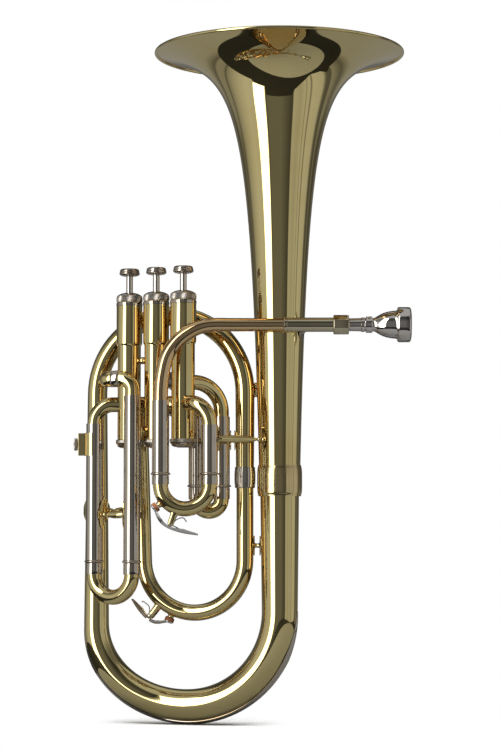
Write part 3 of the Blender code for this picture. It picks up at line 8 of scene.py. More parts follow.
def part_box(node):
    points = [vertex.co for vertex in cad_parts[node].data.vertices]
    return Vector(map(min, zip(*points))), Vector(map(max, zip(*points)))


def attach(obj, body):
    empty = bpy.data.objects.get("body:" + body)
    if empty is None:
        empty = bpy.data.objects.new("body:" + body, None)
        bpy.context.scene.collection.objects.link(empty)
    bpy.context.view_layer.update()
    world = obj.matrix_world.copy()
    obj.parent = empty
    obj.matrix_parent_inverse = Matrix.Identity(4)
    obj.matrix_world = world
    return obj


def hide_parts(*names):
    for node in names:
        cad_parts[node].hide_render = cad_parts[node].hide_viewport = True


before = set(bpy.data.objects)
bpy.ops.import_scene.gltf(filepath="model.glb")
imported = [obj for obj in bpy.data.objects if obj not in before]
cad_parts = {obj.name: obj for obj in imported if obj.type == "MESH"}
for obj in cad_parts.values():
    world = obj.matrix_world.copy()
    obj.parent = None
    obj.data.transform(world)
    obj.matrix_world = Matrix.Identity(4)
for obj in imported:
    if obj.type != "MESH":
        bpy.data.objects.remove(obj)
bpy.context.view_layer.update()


# The bell. One flare of yellow brass sheet, hammered to shape and spun on a mandrel, with its rim rolled
# over a wire. It is polished, lacquered, and soldered at its narrow end into the bottom bow.
GAP = 0.0003
HORN_HEIGHT = 0.550
BELL_RIM_RADIUS = 0.1025
BELL_WALL = 0.0007
RIM_ROLL = 0.0013
RIM_HEIGHT = HORN_HEIGHT - RIM_ROLL
BELL_JOINT = 0.198
FLARE_BASE = 0.0015
FLARE_START = 0.010
FLARE_POWER = 0.53
TURN_UP_FROM = 0.088
BELL_ROWS = 64
DOUBLES = 0.000002
LINE_ROUGHNESS = 0.012
LINE_HEIGHT = 0.0002
bell_low, bell_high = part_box("bell")
BELL_X = (bell_low.x + bell_high.x) / 2
UP = Vector((0, 0, 1))
LEFT = Vector((-1, 0, 0))


def at(x, y, z):
    """A point measured from the bell's axis and the lowest point of the horn."""
    return Vector((BELL_X + x, y, z))


def upright(x, y):
    """The frame of a turned piece that stands on a vertical line."""
    return Matrix.Translation(at(x, y, 0))


def aimed(start, way):
    """The frame of a turned piece whose axis leaves start in a direction."""
    return Matrix.Translation(start) @ way.to_track_quat("Z", "Y").to_matrix().to_4x4()


def flare_radius(height):
    """Outside radius of the bell at a height."""
    share = (FLARE_START / (FLARE_START + RIM_HEIGHT - height)) ** FLARE_POWER
    return FLARE_BASE + (BELL_RIM_RADIUS - FLARE_BASE) * share


def flare_height(radius):
    """Height at which the bell has an outside radius."""
    share = (radius - FLARE_BASE) / (BELL_RIM_RADIUS - FLARE_BASE)
    return RIM_HEIGHT - FLARE_START * (share ** (-1 / FLARE_POWER) - 1)


def arc(radius, height, wide, tall, degrees):
    """A bead in a profile: radii and heights round a middle, at the given angles."""
    turns = [math.radians(degree) for degree in degrees]
    return [(radius + wide * math.cos(turn), height + tall * math.sin(turn)) for turn in turns]


def outlined(points, closed=True):
    """A line through points, joined into a loop if it is closed."""
    bm = bmesh.new()
    spots = [bm.verts.new(Vector(point).to_3d()) for point in points]
    for first, second in zip(spots, spots[1:]):
        bm.edges.new((first, second))
    if closed:
        bm.edges.new((spots[-1], spots[0]))
    return bm


def rounded(bm, corners, size, affect="EDGES"):
    """Edges or corners taken off with a small radius."""
    bmesh.ops.bevel(bm, geom=corners, offset=size, offset_type="OFFSET", segments=3, profile=0.5,
                    affect=affect, material=-1)


def turned(profile, where, sides=64, closed=True, rounding=0.0):
    """A profile of radii and heights spun round its axis, with its corners rounded first."""
    bm = outlined([(radius, 0, height) for radius, height in profile], closed)
    if rounding:
        rounded(bm, [spot for spot in bm.verts if len(spot.link_edges) == 2], rounding, "VERTICES")
    bmesh.ops.spin(bm, geom=bm.verts[:] + bm.edges[:], cent=(0, 0, 0), axis=(0, 0, 1), dvec=(0, 0, 0),
                   angle=2 * math.pi, steps=sides, use_merge=True, use_duplicate=False)
    bmesh.ops.transform(bm, matrix=where, verts=bm.verts)
    return bm


def placed(name, data):
    """A mesh, a lamp or the camera as an object of the scene."""
    thing = bpy.data.objects.new(name, data)
    bpy.context.scene.collection.objects.link(thing)
    return thing


def covered(bm, name, skin):
    """A mesh as an object of one material."""
    mesh = bpy.data.meshes.new(name)
    bm.to_mesh(mesh)
    bm.free()
    mesh.materials.append(skin)
    return placed(name, mesh)


def finished(bm, name, metal, *stands_for, body="horn"):
    """A cleaned mesh as a named piece with its metal, its body and the solids that it stands for."""
    bmesh.ops.remove_doubles(bm, verts=bm.verts, dist=DOUBLES)
    bmesh.ops.recalc_face_normals(bm, faces=bm.faces)
    piece = covered(bm, name, metal)
    piece.data.shade_smooth()
    piece.data.set_sharp_from_angle(angle=math.radians(38))
    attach(piece, body)
    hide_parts(*stands_for)


def wired(tree, kind, *feeds, output=None, **settings):
    """The output of a new shader node, with its inputs fed by name from sockets or plain values."""
    made = tree.nodes.new("ShaderNode" + kind)
    for name, value in settings.items():
        setattr(made, name, value)
    for name, feed in feeds:
        if isinstance(feed, bpy.types.NodeSocket):
            tree.links.new(feed, made.inputs[name])
        else:
            made.inputs[name].default_value = feed
    if output:
        return made.outputs[output]
    return next(socket for socket in made.outputs if socket.enabled)


def reckoned(tree, operation, *values):
    """What a Math node makes of sockets and plain values."""
    return wired(tree, "Math", *enumerate(values), operation=operation)


def ranged(tree, value, low, high, to_low=0.0, to_high=1.0, kind="LINEAR"):
    """A value moved from one range to another and held at its ends."""
    return wired(tree, "MapRange", ("Value", value), ("From Min", low), ("From Max", high),
                 ("To Min", to_low), ("To Max", to_high), interpolation_type=kind)


def blank_material(name):
    """A new material, its node tree and the inputs of its shader."""
    skin = bpy.data.materials.new(name)
    skin.use_nodes = True
    return skin, skin.node_tree, skin.node_tree.nodes["Principled BSDF"].inputs


def polish_group():
    """What every polished metal shows: faint buffing lines, slow waves and smudges from hands."""
    tree = bpy.data.node_groups.new("polished_metal", "ShaderNodeTree")
    for way, kind, *labels in (
            ("INPUT", "Color", "Clean Color", "Toned Color"),
            ("INPUT", "Float", "Tone Amount", "Smudge Scale", "Line Scale", "Polish", "Smudge Amount",
             "Wave Height"),
            ("OUTPUT", "Color", "Color"),
            ("OUTPUT", "Float", "Roughness", "Height")):
        for label in labels:
            tree.interface.new_socket(label, in_out=way, socket_type="NodeSocket" + kind)
    given = tree.nodes.new("NodeGroupInput").outputs
    where = wired(tree, "TexCoord", output="Object")
    smudge = wired(tree, "TexNoise", ("Vector", where), ("Scale", given["Smudge Scale"]), ("Detail", 5.0),
                   ("Roughness", 0.62))
    tone = ranged(tree, smudge, 0.40, 0.72, kind="SMOOTHSTEP")
    stretched = wired(tree, "Mapping", ("Vector", where), ("Scale", (1.0, 1.0, 9.0)))
    lines = wired(tree, "TexNoise", ("Vector", stretched), ("Scale", given["Line Scale"]), ("Detail", 1.0))
    waves = wired(tree, "TexNoise", ("Vector", where), ("Scale", 34.0), ("Detail", 0.0))
    toned = reckoned(tree, "MULTIPLY", tone, given["Tone Amount"])
    color = wired(tree, "Mix", ("Factor", toned), ("A", given["Clean Color"]), ("B", given["Toned Color"]),
                  data_type="RGBA")
    matt = reckoned(tree, "MULTIPLY_ADD", tone, given["Smudge Amount"], given["Polish"])
    rough = reckoned(tree, "MULTIPLY_ADD", lines, LINE_ROUGHNESS, matt)
    swell = reckoned(tree, "MULTIPLY", waves, given["Wave Height"])
    height = reckoned(tree, "MULTIPLY_ADD", lines, LINE_HEIGHT, swell)
    put_out = tree.nodes.new("NodeGroupOutput").inputs
    for label, socket in (("Color", color), ("Roughness", rough), ("Height", height)):
        tree.links.new(socket, put_out[label])
    return tree


POLISH = polish_group()


def polished(name, clean, toned, tone=0.5, polish=0.018, smudges=0.03, waves=0.02, coat=0.0,
             reflection_tint=None):
    """A polished metal, perhaps lacquered; the colour given for reflections is a painted reflection tint, a
    darker colour shown only where the metal is seen in another polished piece.
    """
    metal, tree, shader = blank_material(name)
    shader["Metallic"].default_value = 1.0
    shader["Coat Weight"].default_value = coat
    shader["Coat Roughness"].default_value = 0.015
    surface = wired(tree, "Group", ("Clean Color", (*clean, 1.0)), ("Toned Color", (*toned, 1.0)),
                    ("Tone Amount", tone), ("Smudge Scale", 26.0), ("Line Scale", 260.0), ("Polish", polish),
                    ("Smudge Amount", smudges), ("Wave Height", waves), node_tree=POLISH).node.outputs
    bumps = wired(tree, "Bump", ("Strength", 1.0), ("Distance", 0.001), ("Height", surface["Height"]))
    color = surface["Color"]
    # Painted reflection tint: the colour turns darker and redder wherever this metal is seen in another
    # polished piece.
    if reflection_tint:
        bounces = wired(tree, "LightPath", output="Glossy Depth")
        reflection_tint_share = wired(tree, "Math", (0, bounces), (1, 0.75), operation="MULTIPLY", use_clamp=True)
        color = wired(tree, "Mix", ("Factor", reflection_tint_share), ("A", color), ("B", (*reflection_tint, 1.0)), data_type="RGBA")
    for label, socket in (("Base Color", color), ("Roughness", surface["Roughness"]), ("Normal", bumps)):
        tree.links.new(socket, shader[label])
    return metal


# The last colour of each lacquered brass is its painted reflection tint, seen only in other polished pieces.
YELLOW_BRASS = polished("lacquered_yellow_brass", (0.84, 0.71, 0.33), (0.76, 0.60, 0.24),
                        coat=0.3, reflection_tint=(0.68, 0.44, 0.19))

bell_throat = flare_radius(BELL_JOINT)
bell_edge = BELL_RIM_RADIUS - 2 * RIM_ROLL
edge_rise = 0.8 * (RIM_HEIGHT - flare_height(bell_edge))
outside = []
for row in range(BELL_ROWS + 1):
    radius = bell_throat * (bell_edge / bell_throat) ** (row / BELL_ROWS)
    near_edge = max(0.0, (radius - TURN_UP_FROM) / (bell_edge - TURN_UP_FROM))
    outside.append((radius, flare_height(radius) + edge_rise * near_edge ** 2))
rolled = arc(BELL_RIM_RADIUS - RIM_ROLL, RIM_HEIGHT, RIM_ROLL, RIM_ROLL, range(190, 471, 20))
inside = []
for row, (radius, height) in enumerate(outside):
    before = outside[max(row - 1, 0)]
    after = outside[min(row + 1, BELL_ROWS)]
    slope = Vector((after[0] - before[0], after[1] - before[1])).normalized()
    inside.append((radius - slope.y * BELL_WALL, height + slope.x * BELL_WALL))
finished(turned(outside + rolled + inside[::-1], upright(0, 0), 160), "bell_flare", YELLOW_BRASS, "bell")


# The bell ferrule. A turned brass garland that is slid over the joint of bell and bow and soldered there;
# a rolled edge and a fine cut line run round each end.
FERRULE_HALF = 0.0126
GARLAND_EDGE = 0.0003
GARLAND_SWELL = 0.0008
CUT_LINE = 0.00022
ferrule_bore = flare_radius(BELL_JOINT + FERRULE_HALF) + GAP
BRUSHED_BRASS = polished("brushed_brass", (0.80, 0.66, 0.34), (0.66, 0.50, 0.25), tone=0.7,
                         polish=0.09, smudges=0.10, waves=0.05, coat=0.2)
garland = [(ferrule_bore, BELL_JOINT - FERRULE_HALF), (ferrule_bore, BELL_JOINT + FERRULE_HALF)]
for step in range(25):
    share = 1 - step / 12
    swell = GARLAND_EDGE + GARLAND_SWELL * (1 - share ** 4)
    groove = CUT_LINE if 0.88 < abs(share) < 0.95 else 0.0
    garland.append((ferrule_bore + swell - groove, BELL_JOINT + share * FERRULE_HALF))
finished(turned(garland, upright(0, 0), 96), "bell_garland", BRUSHED_BRASS, "bell_ferrule")


# The bottom bow. A conical tube of yellow brass bent to a U with pitch inside it, pressed smooth in a die,
# then lacquered. It carries the bell and runs on into the left leg of the top bow.
GUARD_THICKNESS = 0.0018
BOW_AT_BELL = bell_throat - BELL_WALL
BOW_AT_SPRING = 0.0146
BOW_AT_BOTTOM = 0.0132
BOW_AT_LEFT = 0.0103
LEFT_LEG = Vector((-0.1508, 0.039))
LEFT_JOINT = 0.0800
BOW_LOW = BOW_AT_BOTTOM + GAP + GUARD_THICKNESS
BOW_ACROSS = LEFT_LEG.to_3d()
BOW_SPRING = BOW_ACROSS.length / 2 + BOW_LOW
QUARTER = 28


def frames_along(path, side):
    """A frame at every point of a path, its Z along it and its X kept on one side."""
    frames = []
    x = side.normalized()
    for i, spot in enumerate(path):
        z = (path[min(i + 1, len(path) - 1)] - path[max(i - 1, 0)]).normalized()
        x = (x - z * x.dot(z)).normalized()
        turn = Matrix((x, z.cross(x), z)).transposed().to_4x4()
        frames.append(Matrix.Translation(spot) @ turn)
    return frames


def drawn(bm, path, scales, side):
    """The closed outline in bm drawn along a path, scaled at each point, with both ends shut."""
    places = [place @ Matrix.Scale(scale, 4) for place, scale in zip(frames_along(path, side), scales)]
    loop = bm.edges[:]
    bmesh.ops.transform(bm, matrix=places[0], verts=bm.verts)
    for before, after in zip(places, places[1:]):
        grown = bmesh.ops.extrude_edge_only(bm, edges=loop)["geom"]
        spots = [item for item in grown if isinstance(item, bmesh.types.BMVert)]
        fresh = set(spots)
        edges = [item for item in grown if isinstance(item, bmesh.types.BMEdge)]
        loop = [edge for edge in edges if fresh.issuperset(edge.verts)]
        bmesh.ops.transform(bm, matrix=after @ before.inverted(), verts=spots)
    bmesh.ops.holes_fill(bm, edges=[edge for edge in bm.edges if edge.is_boundary], sides=0)
    return bm


def tube(path, radii, sides=40, side=Vector((0.13, 1, 0.21))):
    """A round tube drawn along a path."""
    bm = bmesh.new()
    bmesh.ops.create_circle(bm, segments=sides, radius=1.0)
    return drawn(bm, path, radii, side)


def bend(centre, start, end, sweep=math.pi / 2, steps=None):
    """Points round a bend, from centre + start towards centre + end, which is square to start."""
    steps = steps or max(4, round(math.degrees(sweep) / 4.5))
    turns = [sweep * i / steps for i in range(steps + 1)]
    return [centre + start * math.cos(turn) + end * math.sin(turn) for turn in turns]


def eased(start, end, count):
    """Values that run evenly from start to end."""
    return [start + (end - start) * i / (count - 1) for i in range(count)]


bow_middle = at(LEFT_LEG.x / 2, LEFT_LEG.y / 2, 0)
right_quarter = bend(bow_middle + UP * BOW_SPRING, -BOW_ACROSS / 2, -UP * (BOW_SPRING - BOW_LOW),
                     steps=QUARTER)
left_quarter = bend(bow_middle + UP * LEFT_JOINT, -UP * (LEFT_JOINT - BOW_LOW), BOW_ACROSS / 2,
                    steps=QUARTER)
bow_turn = right_quarter + left_quarter[1:]
bow_turn_radii = eased(BOW_AT_SPRING, BOW_AT_BOTTOM, QUARTER + 1)
bow_turn_radii += eased(BOW_AT_BOTTOM, BOW_AT_LEFT, QUARTER + 1)[1:]
bow_leg = []
bow_leg_radii = []
for share in (0, 0.33, 0.66):
    bow_leg.append(at(0, 0, BELL_JOINT - GAP) + (UP * (BOW_SPRING - BELL_JOINT)) * share)
    bow_leg_radii.append(BOW_AT_BELL + (BOW_AT_SPRING - BOW_AT_BELL) * share)
finished(tube(bow_leg + bow_turn, bow_leg_radii + bow_turn_radii, 64, BOW_ACROSS), "bottom_bow_tube",
         YELLOW_BRASS, "bottom_bow")


# The bow guard. A half-round strip of nickel silver bent round the outside of the bottom bow and soldered
# along it, filed thin at its edges and to a point at both ends, to take the knocks when the horn is set down.
GUARD_HALF = 0.0055
GUARD_SECTION = ((-1, 0.0005), (-0.7, 0.0013), (-0.3, GUARD_THICKNESS), (0.3, GUARD_THICKNESS), (0.7, 0.0013),
                 (1, 0.0005), (1, 0), (0.5, 0), (0, 0), (-0.5, 0), (-1, 0))
POINT_WIDTH = 0.12
POINT_STEPS = 9
NICKEL = polished("nickel_plate", (0.66, 0.61, 0.53), (0.52, 0.46, 0.37), polish=0.025,
                  smudges=0.04, waves=0.012)
reach = BOW_AT_BOTTOM + GAP
guard_corners = []
for share, lift in GUARD_SECTION:
    turn = share * GUARD_HALF / reach
    guard_corners.append(((reach + lift) * math.cos(turn), (reach + lift) * math.sin(turn)))
guard_scales = [radius / BOW_AT_BOTTOM for radius in bow_turn_radii]
guard = drawn(outlined(guard_corners), bow_turn, guard_scales, -BOW_ACROSS)
guard.verts.ensure_lookup_table()
for i, (place, scale) in enumerate(zip(frames_along(bow_turn, -BOW_ACROSS), guard_scales)):
    filed = min(1.0, POINT_WIDTH + min(i, len(bow_turn) - 1 - i) / POINT_STEPS)
    ridge = place @ Vector((reach * scale, 0, 0))
    for spot in guard.verts[i * len(guard_corners):(i + 1) * len(guard_corners)]:
        spot.co = ridge + (spot.co - ridge) * filed
finished(guard, "bow_guard_strip", NICKEL, "bow_guard")


# The top bow. The other conical tube, from the branch ferrule up over the back of the valves and down the
# left side of the horn to the bottom bow, bent and lacquered like it.
BRANCH_LEG = Vector((-0.0282, 0.004))
BRANCH_JOINT = 0.2006
TOP_SPRING = 0.2704
BRANCH_AT_FERRULE = 0.0073
BRANCH_MIDDLE = BRANCH_AT_FERRULE + 0.0003
BRANCH_AT_SPRING = BRANCH_AT_FERRULE + 0.0005
BRANCH_AT_TOP = 0.0081
top_across = (LEFT_LEG - BRANCH_LEG).to_3d()
top_middle = (LEFT_LEG + BRANCH_LEG) / 2
top_turn = bend(at(*top_middle, TOP_SPRING), -top_across / 2, UP * top_across.length / 2, math.pi)
top_path = [at(*BRANCH_LEG, BRANCH_JOINT + GAP), at(*BRANCH_LEG, (BRANCH_JOINT + TOP_SPRING) / 2)] + top_turn
top_radii = [BRANCH_AT_FERRULE, BRANCH_MIDDLE] + eased(BRANCH_AT_SPRING, BRANCH_AT_TOP, len(top_turn))
for share in (0.33, 0.66, 1.0):
    top_path.append(at(*LEFT_LEG, TOP_SPRING + (LEFT_JOINT - TOP_SPRING) * share))
    top_radii.append(BRANCH_AT_TOP + (BOW_AT_LEFT - BRANCH_AT_TOP) * share)
finished(tube(top_path, top_radii, 56), "top_bow_tube", YELLOW_BRASS, "top_bow")


# The branch ferrule. A short sleeve turned from nickel silver with a fine cut line near each end, soldered
# over the joint of the inner loop and the top bow.
BRANCH_SLEEVE_HALF = 0.0085
BRANCH_SLEEVE_SKIN = 0.0082
SLEEVE_CUT = 0.0002


def sleeve_over(low, high, bore, skin, where, bulge=0.0):
    """A plain sleeve with softened edges and, if it has any, a slight barrel shape."""
    profile = [(bore, high), (bore, low)]
    for step in range(17):
        share = step / 8 - 1
        groove = SLEEVE_CUT if 0.70 < abs(share) < 0.80 else 0.0
        lip = SLEEVE_CUT if abs(share) > 0.95 else 0.0
        radius = skin + bulge * (1 - share * share) - groove - lip
        profile.append((radius, (low + high + share * (high - low)) / 2))
    return turned(profile, where, 56)


branch_sleeve = sleeve_over(BRANCH_JOINT - BRANCH_SLEEVE_HALF, BRANCH_JOINT + BRANCH_SLEEVE_HALF,
                            BRANCH_AT_FERRULE + GAP, BRANCH_SLEEVE_SKIN, upright(*BRANCH_LEG), 0.0004)
finished(branch_sleeve, "branch_joint_sleeve", NICKEL, "branch_ferrule")


# The valve casings. Each is a brass tube whose upper part is wider, with a soft shoulder between the two,
# a threaded neck for its cap, and holes that the knuckles and elbows are brazed over.
VALVE_TURN = math.radians(26)
ROW = Vector((math.cos(VALVE_TURN), -math.sin(VALVE_TURN)))
ROW_BACK = Vector((math.sin(VALVE_TURN), math.cos(VALVE_TURN)))
PITCH = 0.0249
MIDDLE_VALVE = Vector((-0.1006, -0.0010))
VALVES = {1: MIDDLE_VALVE + ROW * PITCH, 2: MIDDLE_VALVE, 3: MIDDLE_VALVE - ROW * PITCH}
CASING_LOW = 0.2288
CASING_SHOULDER = 0.3436
CASING_STEP = CASING_SHOULDER - 0.0351
CASING_TOP = 0.3466
LOWER_CASING = 0.0095
UPPER_CASING = 0.0106
CASING_NECK = 0.0099
PISTON_BORE = 0.0089
BARREL_BORE = 0.0094
BARREL_SEAT = 0.3055
casing_profile = [(CASING_NECK, CASING_TOP), (CASING_NECK, CASING_SHOULDER), (UPPER_CASING, CASING_SHOULDER),
                  (UPPER_CASING, CASING_STEP + 0.0022), (UPPER_CASING - 0.0002, CASING_STEP + 0.0012),
                  (LOWER_CASING + 0.0003, CASING_STEP + 0.0002), (LOWER_CASING, CASING_STEP - 0.0006),
                  (LOWER_CASING, CASING_LOW), (PISTON_BORE, CASING_LOW), (PISTON_BORE, BARREL_SEAT),
                  (BARREL_BORE, BARREL_SEAT), (BARREL_BORE, CASING_TOP)]
for number, spot in VALVES.items():
    casing = turned(casing_profile, upright(*spot), rounding=0.00012)
    finished(casing, f"casing_tube_{number}", YELLOW_BRASS, f"valve_{number}_casing")


# The tie balls and knuckles between the casings. Small turned brass balls on pins space the casings high up;
# short tubes brazed between the ports join them lower down.
LOW_PORT = 0.2603
TIE_HEIGHT = 0.2960
TIE_BALL = 0.0030
TIE_PIN = 0.0014
KNUCKLE = (0.0063, 0.0061, 0.0063)


def spindle(start, end, profile):
    """A turned rod between two points; the profile gives radii against shares of its length."""
    length = (end - start).length
    points = [(0, 0)] + [(radius, share * length) for radius, share in profile] + [(0, length)]
    return turned(points, aimed(start, end - start), 32, closed=False, rounding=0.0001)


for first, second in ((1, 2), (2, 3)):
    start = VALVES[first]
    end = VALVES[second]
    knuckle_path = [at(*start.lerp(end, share), LOW_PORT) for share in (0.3, 0.5, 0.7)]
    finished(tube(knuckle_path, KNUCKLE), f"knuckle_tube_{first}_{second}", YELLOW_BRASS,
             f"knuckle_{first}_{second}")
    pin_start = at(*start.lerp(end, 0.36), TIE_HEIGHT)
    pin_end = at(*start.lerp(end, 0.64), TIE_HEIGHT)
    pin_length = (pin_end - pin_start).length
    ball = arc(0, 0, TIE_BALL, TIE_BALL, range(-72, 73, 18))
    tie = [(max(TIE_PIN, radius), 0.5 + rise / pin_length) for radius, rise in ball]
    tie = [(TIE_PIN, 0)] + tie + [(TIE_PIN, 1)]
    finished(spindle(pin_start, pin_end, tie), f"tie_ball_{first}_{second}", YELLOW_BRASS, "valve_2_casing")


# The valve caps. Turned from nickel silver and screwed on: a domed top cap with a rolled and knurled grip,
# and a shallow bottom cap with a stepped, knurled edge and a boss in the middle.
def from_millimetres(pairs, base=0.0):
    """A profile in metres from radii and heights in millimetres, the heights above a base."""
    return [(radius / 1000, base + height / 1000) for radius, height in pairs]


def notched(bm, line, beyond, depth, teeth):
    """Fine teeth cut into the outer skin of a turned piece that has twice as many sides as teeth."""
    bmesh.ops.remove_doubles(bm, verts=bm.verts, dist=DOUBLES)
    into = line.inverted()
    for spot in bm.verts:
        local = into @ spot.co
        reach = local.to_2d().length
        if reach > beyond and round(math.atan2(local.y, local.x) / math.pi * teeth) % 2:
            local.x *= 1 - depth / reach
            local.y *= 1 - depth / reach
            spot.co = line @ local
    return bm


KNURLED_NICKEL = polished("knurled_nickel", (0.60, 0.56, 0.50), (0.40, 0.35, 0.29), polish=0.24,
                          smudges=0.12, waves=0.0)
STEM = 0.00275
CAP_LOW = CASING_SHOULDER + GAP
CAP_TOP = CAP_LOW + 0.0082
COLLAR_LOW = CASING_SHOULDER - 0.0026
CAP_SKIN = 0.0108
CAP_TEETH = 72
BASE_RIM = CASING_LOW + 0.0026
crown = [(STEM + GAP, CAP_TOP - 0.0008), (STEM + GAP, CAP_TOP)]
crown += from_millimetres([(4.5, -0.1), (6.5, -0.6), (8.0, -1.2), (9.0, -1.8), (9.3, -2.2), (8.8, -2.5),
                           (6.0, -1.7)], CAP_TOP)
top_knurl = from_millimetres([(9.4, 6.0), (9.9, 5.9), (10.4, 5.1), (10.7, 3.8), (10.8, 2.4), (10.7, 1.3),
                              (10.3, 0.4), (10.1, 0), (9.4, 0)], CAP_LOW)
low_knurl = from_millimetres([(9.8, 0), (10.4, 0), (10.8, -0.5), (10.8, -2.6), (10.3, -3.2), (9.8, -3.2)],
                             BASE_RIM)
under = from_millimetres([(0, -5.3), (8.8, -5.3), (9.8, -3.3), (10.3, -3.4), (9.9, -4.0), (8.8, -5.8),
                          (7.0, -6.5), (5.0, -6.6), (4.6, -7.0), (0, -7.0)], BASE_RIM)
for number, spot in VALVES.items():
    where = upright(*spot)
    top_cap = f"valve_{number}_top_cap"
    bottom_cap = f"valve_{number}_bottom_cap"
    finished(turned(crown, where), f"top_cap_crown_{number}", NICKEL, top_cap)
    neck = sleeve_over(COLLAR_LOW, CASING_SHOULDER + 0.0001, UPPER_CASING - 0.0002, CAP_SKIN, where)
    finished(neck, f"top_cap_collar_{number}", NICKEL, top_cap)
    for profile, beyond, depth, name, cap in (
            (top_knurl, 0.0098, 0.0002, f"top_cap_grip_{number}", top_cap),
            (low_knurl, 0.01045, 0.00016, f"bottom_cap_grip_{number}", bottom_cap)):
        grip = turned(profile, where, 2 * CAP_TEETH, rounding=0.0001)
        finished(notched(grip, where, beyond, depth, CAP_TEETH), name, KNURLED_NICKEL, cap)
    finished(turned(under, where, closed=False), f"bottom_cap_base_{number}", NICKEL, bottom_cap)


# The pistons and their springs. Nickel plated pistons are ground to slide in the casings; the steel coils
# lie hidden in the slotted barrels on top of them. Each keeps its own solid and gets its finish here.
STEEL = polished("spring_steel", (0.52, 0.51, 0.50), (0.35, 0.33, 0.31), polish=0.22,
                 smudges=0.12, waves=0.0)
for number in VALVES:
    for node_name, metal in ((f"valve_{number}_piston", NICKEL), (f"valve_{number}_spring", STEEL)):
        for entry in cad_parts[node_name].material_slots:
            entry.material = metal


# The stems and finger buttons. A silver plated rod screwed into each barrel, with a button turned like a
# small mushroom: a dished top with a soft edge, widest below it, and a round underside.
SILVER = polished("silver_plate", (0.80, 0.77, 0.73), (0.60, 0.55, 0.48), tone=0.4, waves=0.0)
HANDLED_SILVER = polished("handled_silver", (0.60, 0.54, 0.48), (0.38, 0.32, 0.26), tone=0.7,
                          polish=0.10, smudges=0.10, waves=0.0)
BUTTON_TOP = 0.3718
BUTTON_LOW = BUTTON_TOP - 0.0062
STEM_LOW = 0.3333
button_profile = from_millimetres([(0, -1.2), (4.0, -1.0), (5.6, -0.3), (6.6, 0), (7.4, -0.4), (7.9, -1.3),
                                   (8.0, -2.1), (7.9, -2.7), (8.3, -3.1), (8.4, -3.8), (8.2, -4.6),
                                   (7.2, -5.4), (5.2, -5.9), (3.0, -6.2), (0, -6.2)], BUTTON_TOP)
stem_profile = [(0.0, BUTTON_LOW + 0.0001), (STEM + 0.0003, BUTTON_LOW + 0.0001), (STEM, BUTTON_LOW - 0.0005),
                (STEM, STEM_LOW), (0.0, STEM_LOW)]
for number, spot in VALVES.items():
    for piece_name, profile, metal in (("finger_button", button_profile, HANDLED_SILVER),
                                       ("button_stem", stem_profile, SILVER)):
        part = turned(profile, upright(*spot), 56, closed=False, rounding=0.00015)
        finished(part, f"{piece_name}_{number}", metal, f"valve_{number}_button", body=f"valve_{number}")


# The inner loop. A brass tube from the back of valve 3 down, round and up to the branch ferrule, with a
# nipple and two small ears soldered on for its water key.
LOOP_LEFT = Vector((-0.1109, 0.026))
LOOP_SPRING = 0.1335
LOOP_AT_VALVE = 0.0061
LOOP_AT_FERRULE = 0.0069
LOOP_FROM_VALVE = 0.0189
PORT_DEPTH = 0.0070
COPE = LOWER_CASING - 0.0002
loop_leg = VALVES[3] + ROW_BACK * LOOP_FROM_VALVE
loop_elbow = LOOP_FROM_VALVE - LOWER_CASING
loop_along = (LOOP_LEFT - BRANCH_LEG).to_3d()
loop_reach = loop_along.length / 2
loop_along.normalize()
loop_centre = at(*(LOOP_LEFT + BRANCH_LEG) / 2, LOOP_SPRING)
back = ROW_BACK.to_3d()
loop_path = [at(*(VALVES[3] + ROW_BACK * PORT_DEPTH), LOW_PORT)]
loop_path += bend(at(*(loop_leg - ROW_BACK * loop_elbow), LOW_PORT - loop_elbow), UP * loop_elbow,
                  back * loop_elbow)
loop_path += bend(loop_centre, loop_along * loop_reach, -UP * loop_reach, math.pi)
loop_path.append(at(*BRANCH_LEG, BRANCH_JOINT - GAP))
loop_radii = eased(LOOP_AT_VALVE, LOOP_AT_FERRULE, len(loop_path))


def coped(bm, number):
    """A tube whose end is filed hollow to sit in the wall of a valve's casing."""
    bmesh.ops.poke(bm, faces=[face for face in bm.faces if len(face.verts) > 8])
    for spot in bm.verts:
        from_axis = spot.co.to_2d() - at(*VALVES[number], 0).to_2d()
        if from_axis.length < COPE:
            spot.co += (from_axis.normalized() * COPE - from_axis).to_3d()
    return bm


finished(coped(tube(loop_path, loop_radii, 48), 3), "inner_loop_tube", YELLOW_BRASS, "inner_loop")


# The leadpipe. Rose brass, redder than the rest, drawn to a fine taper; it runs from the receiver to the
# left over the front of the valves and turns down into the tuning slide's left sleeve.
TUNING_PLANE = -0.029
TUNING_LEFT = Vector((-0.0957, TUNING_PLANE))
TUNING_RIGHT = Vector((-0.0566, TUNING_PLANE))
TUNING_LEFT_TOP = 0.2615
PIPE_HEIGHT = 0.3225
PIPE_END = 0.0030
PIPE_AT_RECEIVER = 0.0053
TUBE_RADIUS = 0.0061
# Its last colour is a painted reflection tint, seen only in other polished pieces.
ROSE_BRASS = polished("lacquered_rose_brass", (0.82, 0.60, 0.32), (0.74, 0.47, 0.22), coat=0.3,
                      reflection_tint=(0.66, 0.38, 0.18))


def through(points, fine=8):
    """A smooth line through points, with as many steps between two of them as fine says."""
    line = []
    for i in range(len(points) - 1):
        a, b, c, d = (points[max(0, min(len(points) - 1, i + k))] for k in (-1, 0, 1, 2))
        for step in range(fine):
            t = step / fine
            line.append(0.5 * (2 * b + (c - a) * t + (2 * a - 5 * b + 4 * c - d) * t * t
                               + (3 * b - a - 3 * c + d) * t ** 3))
    return line + [points[-1]]


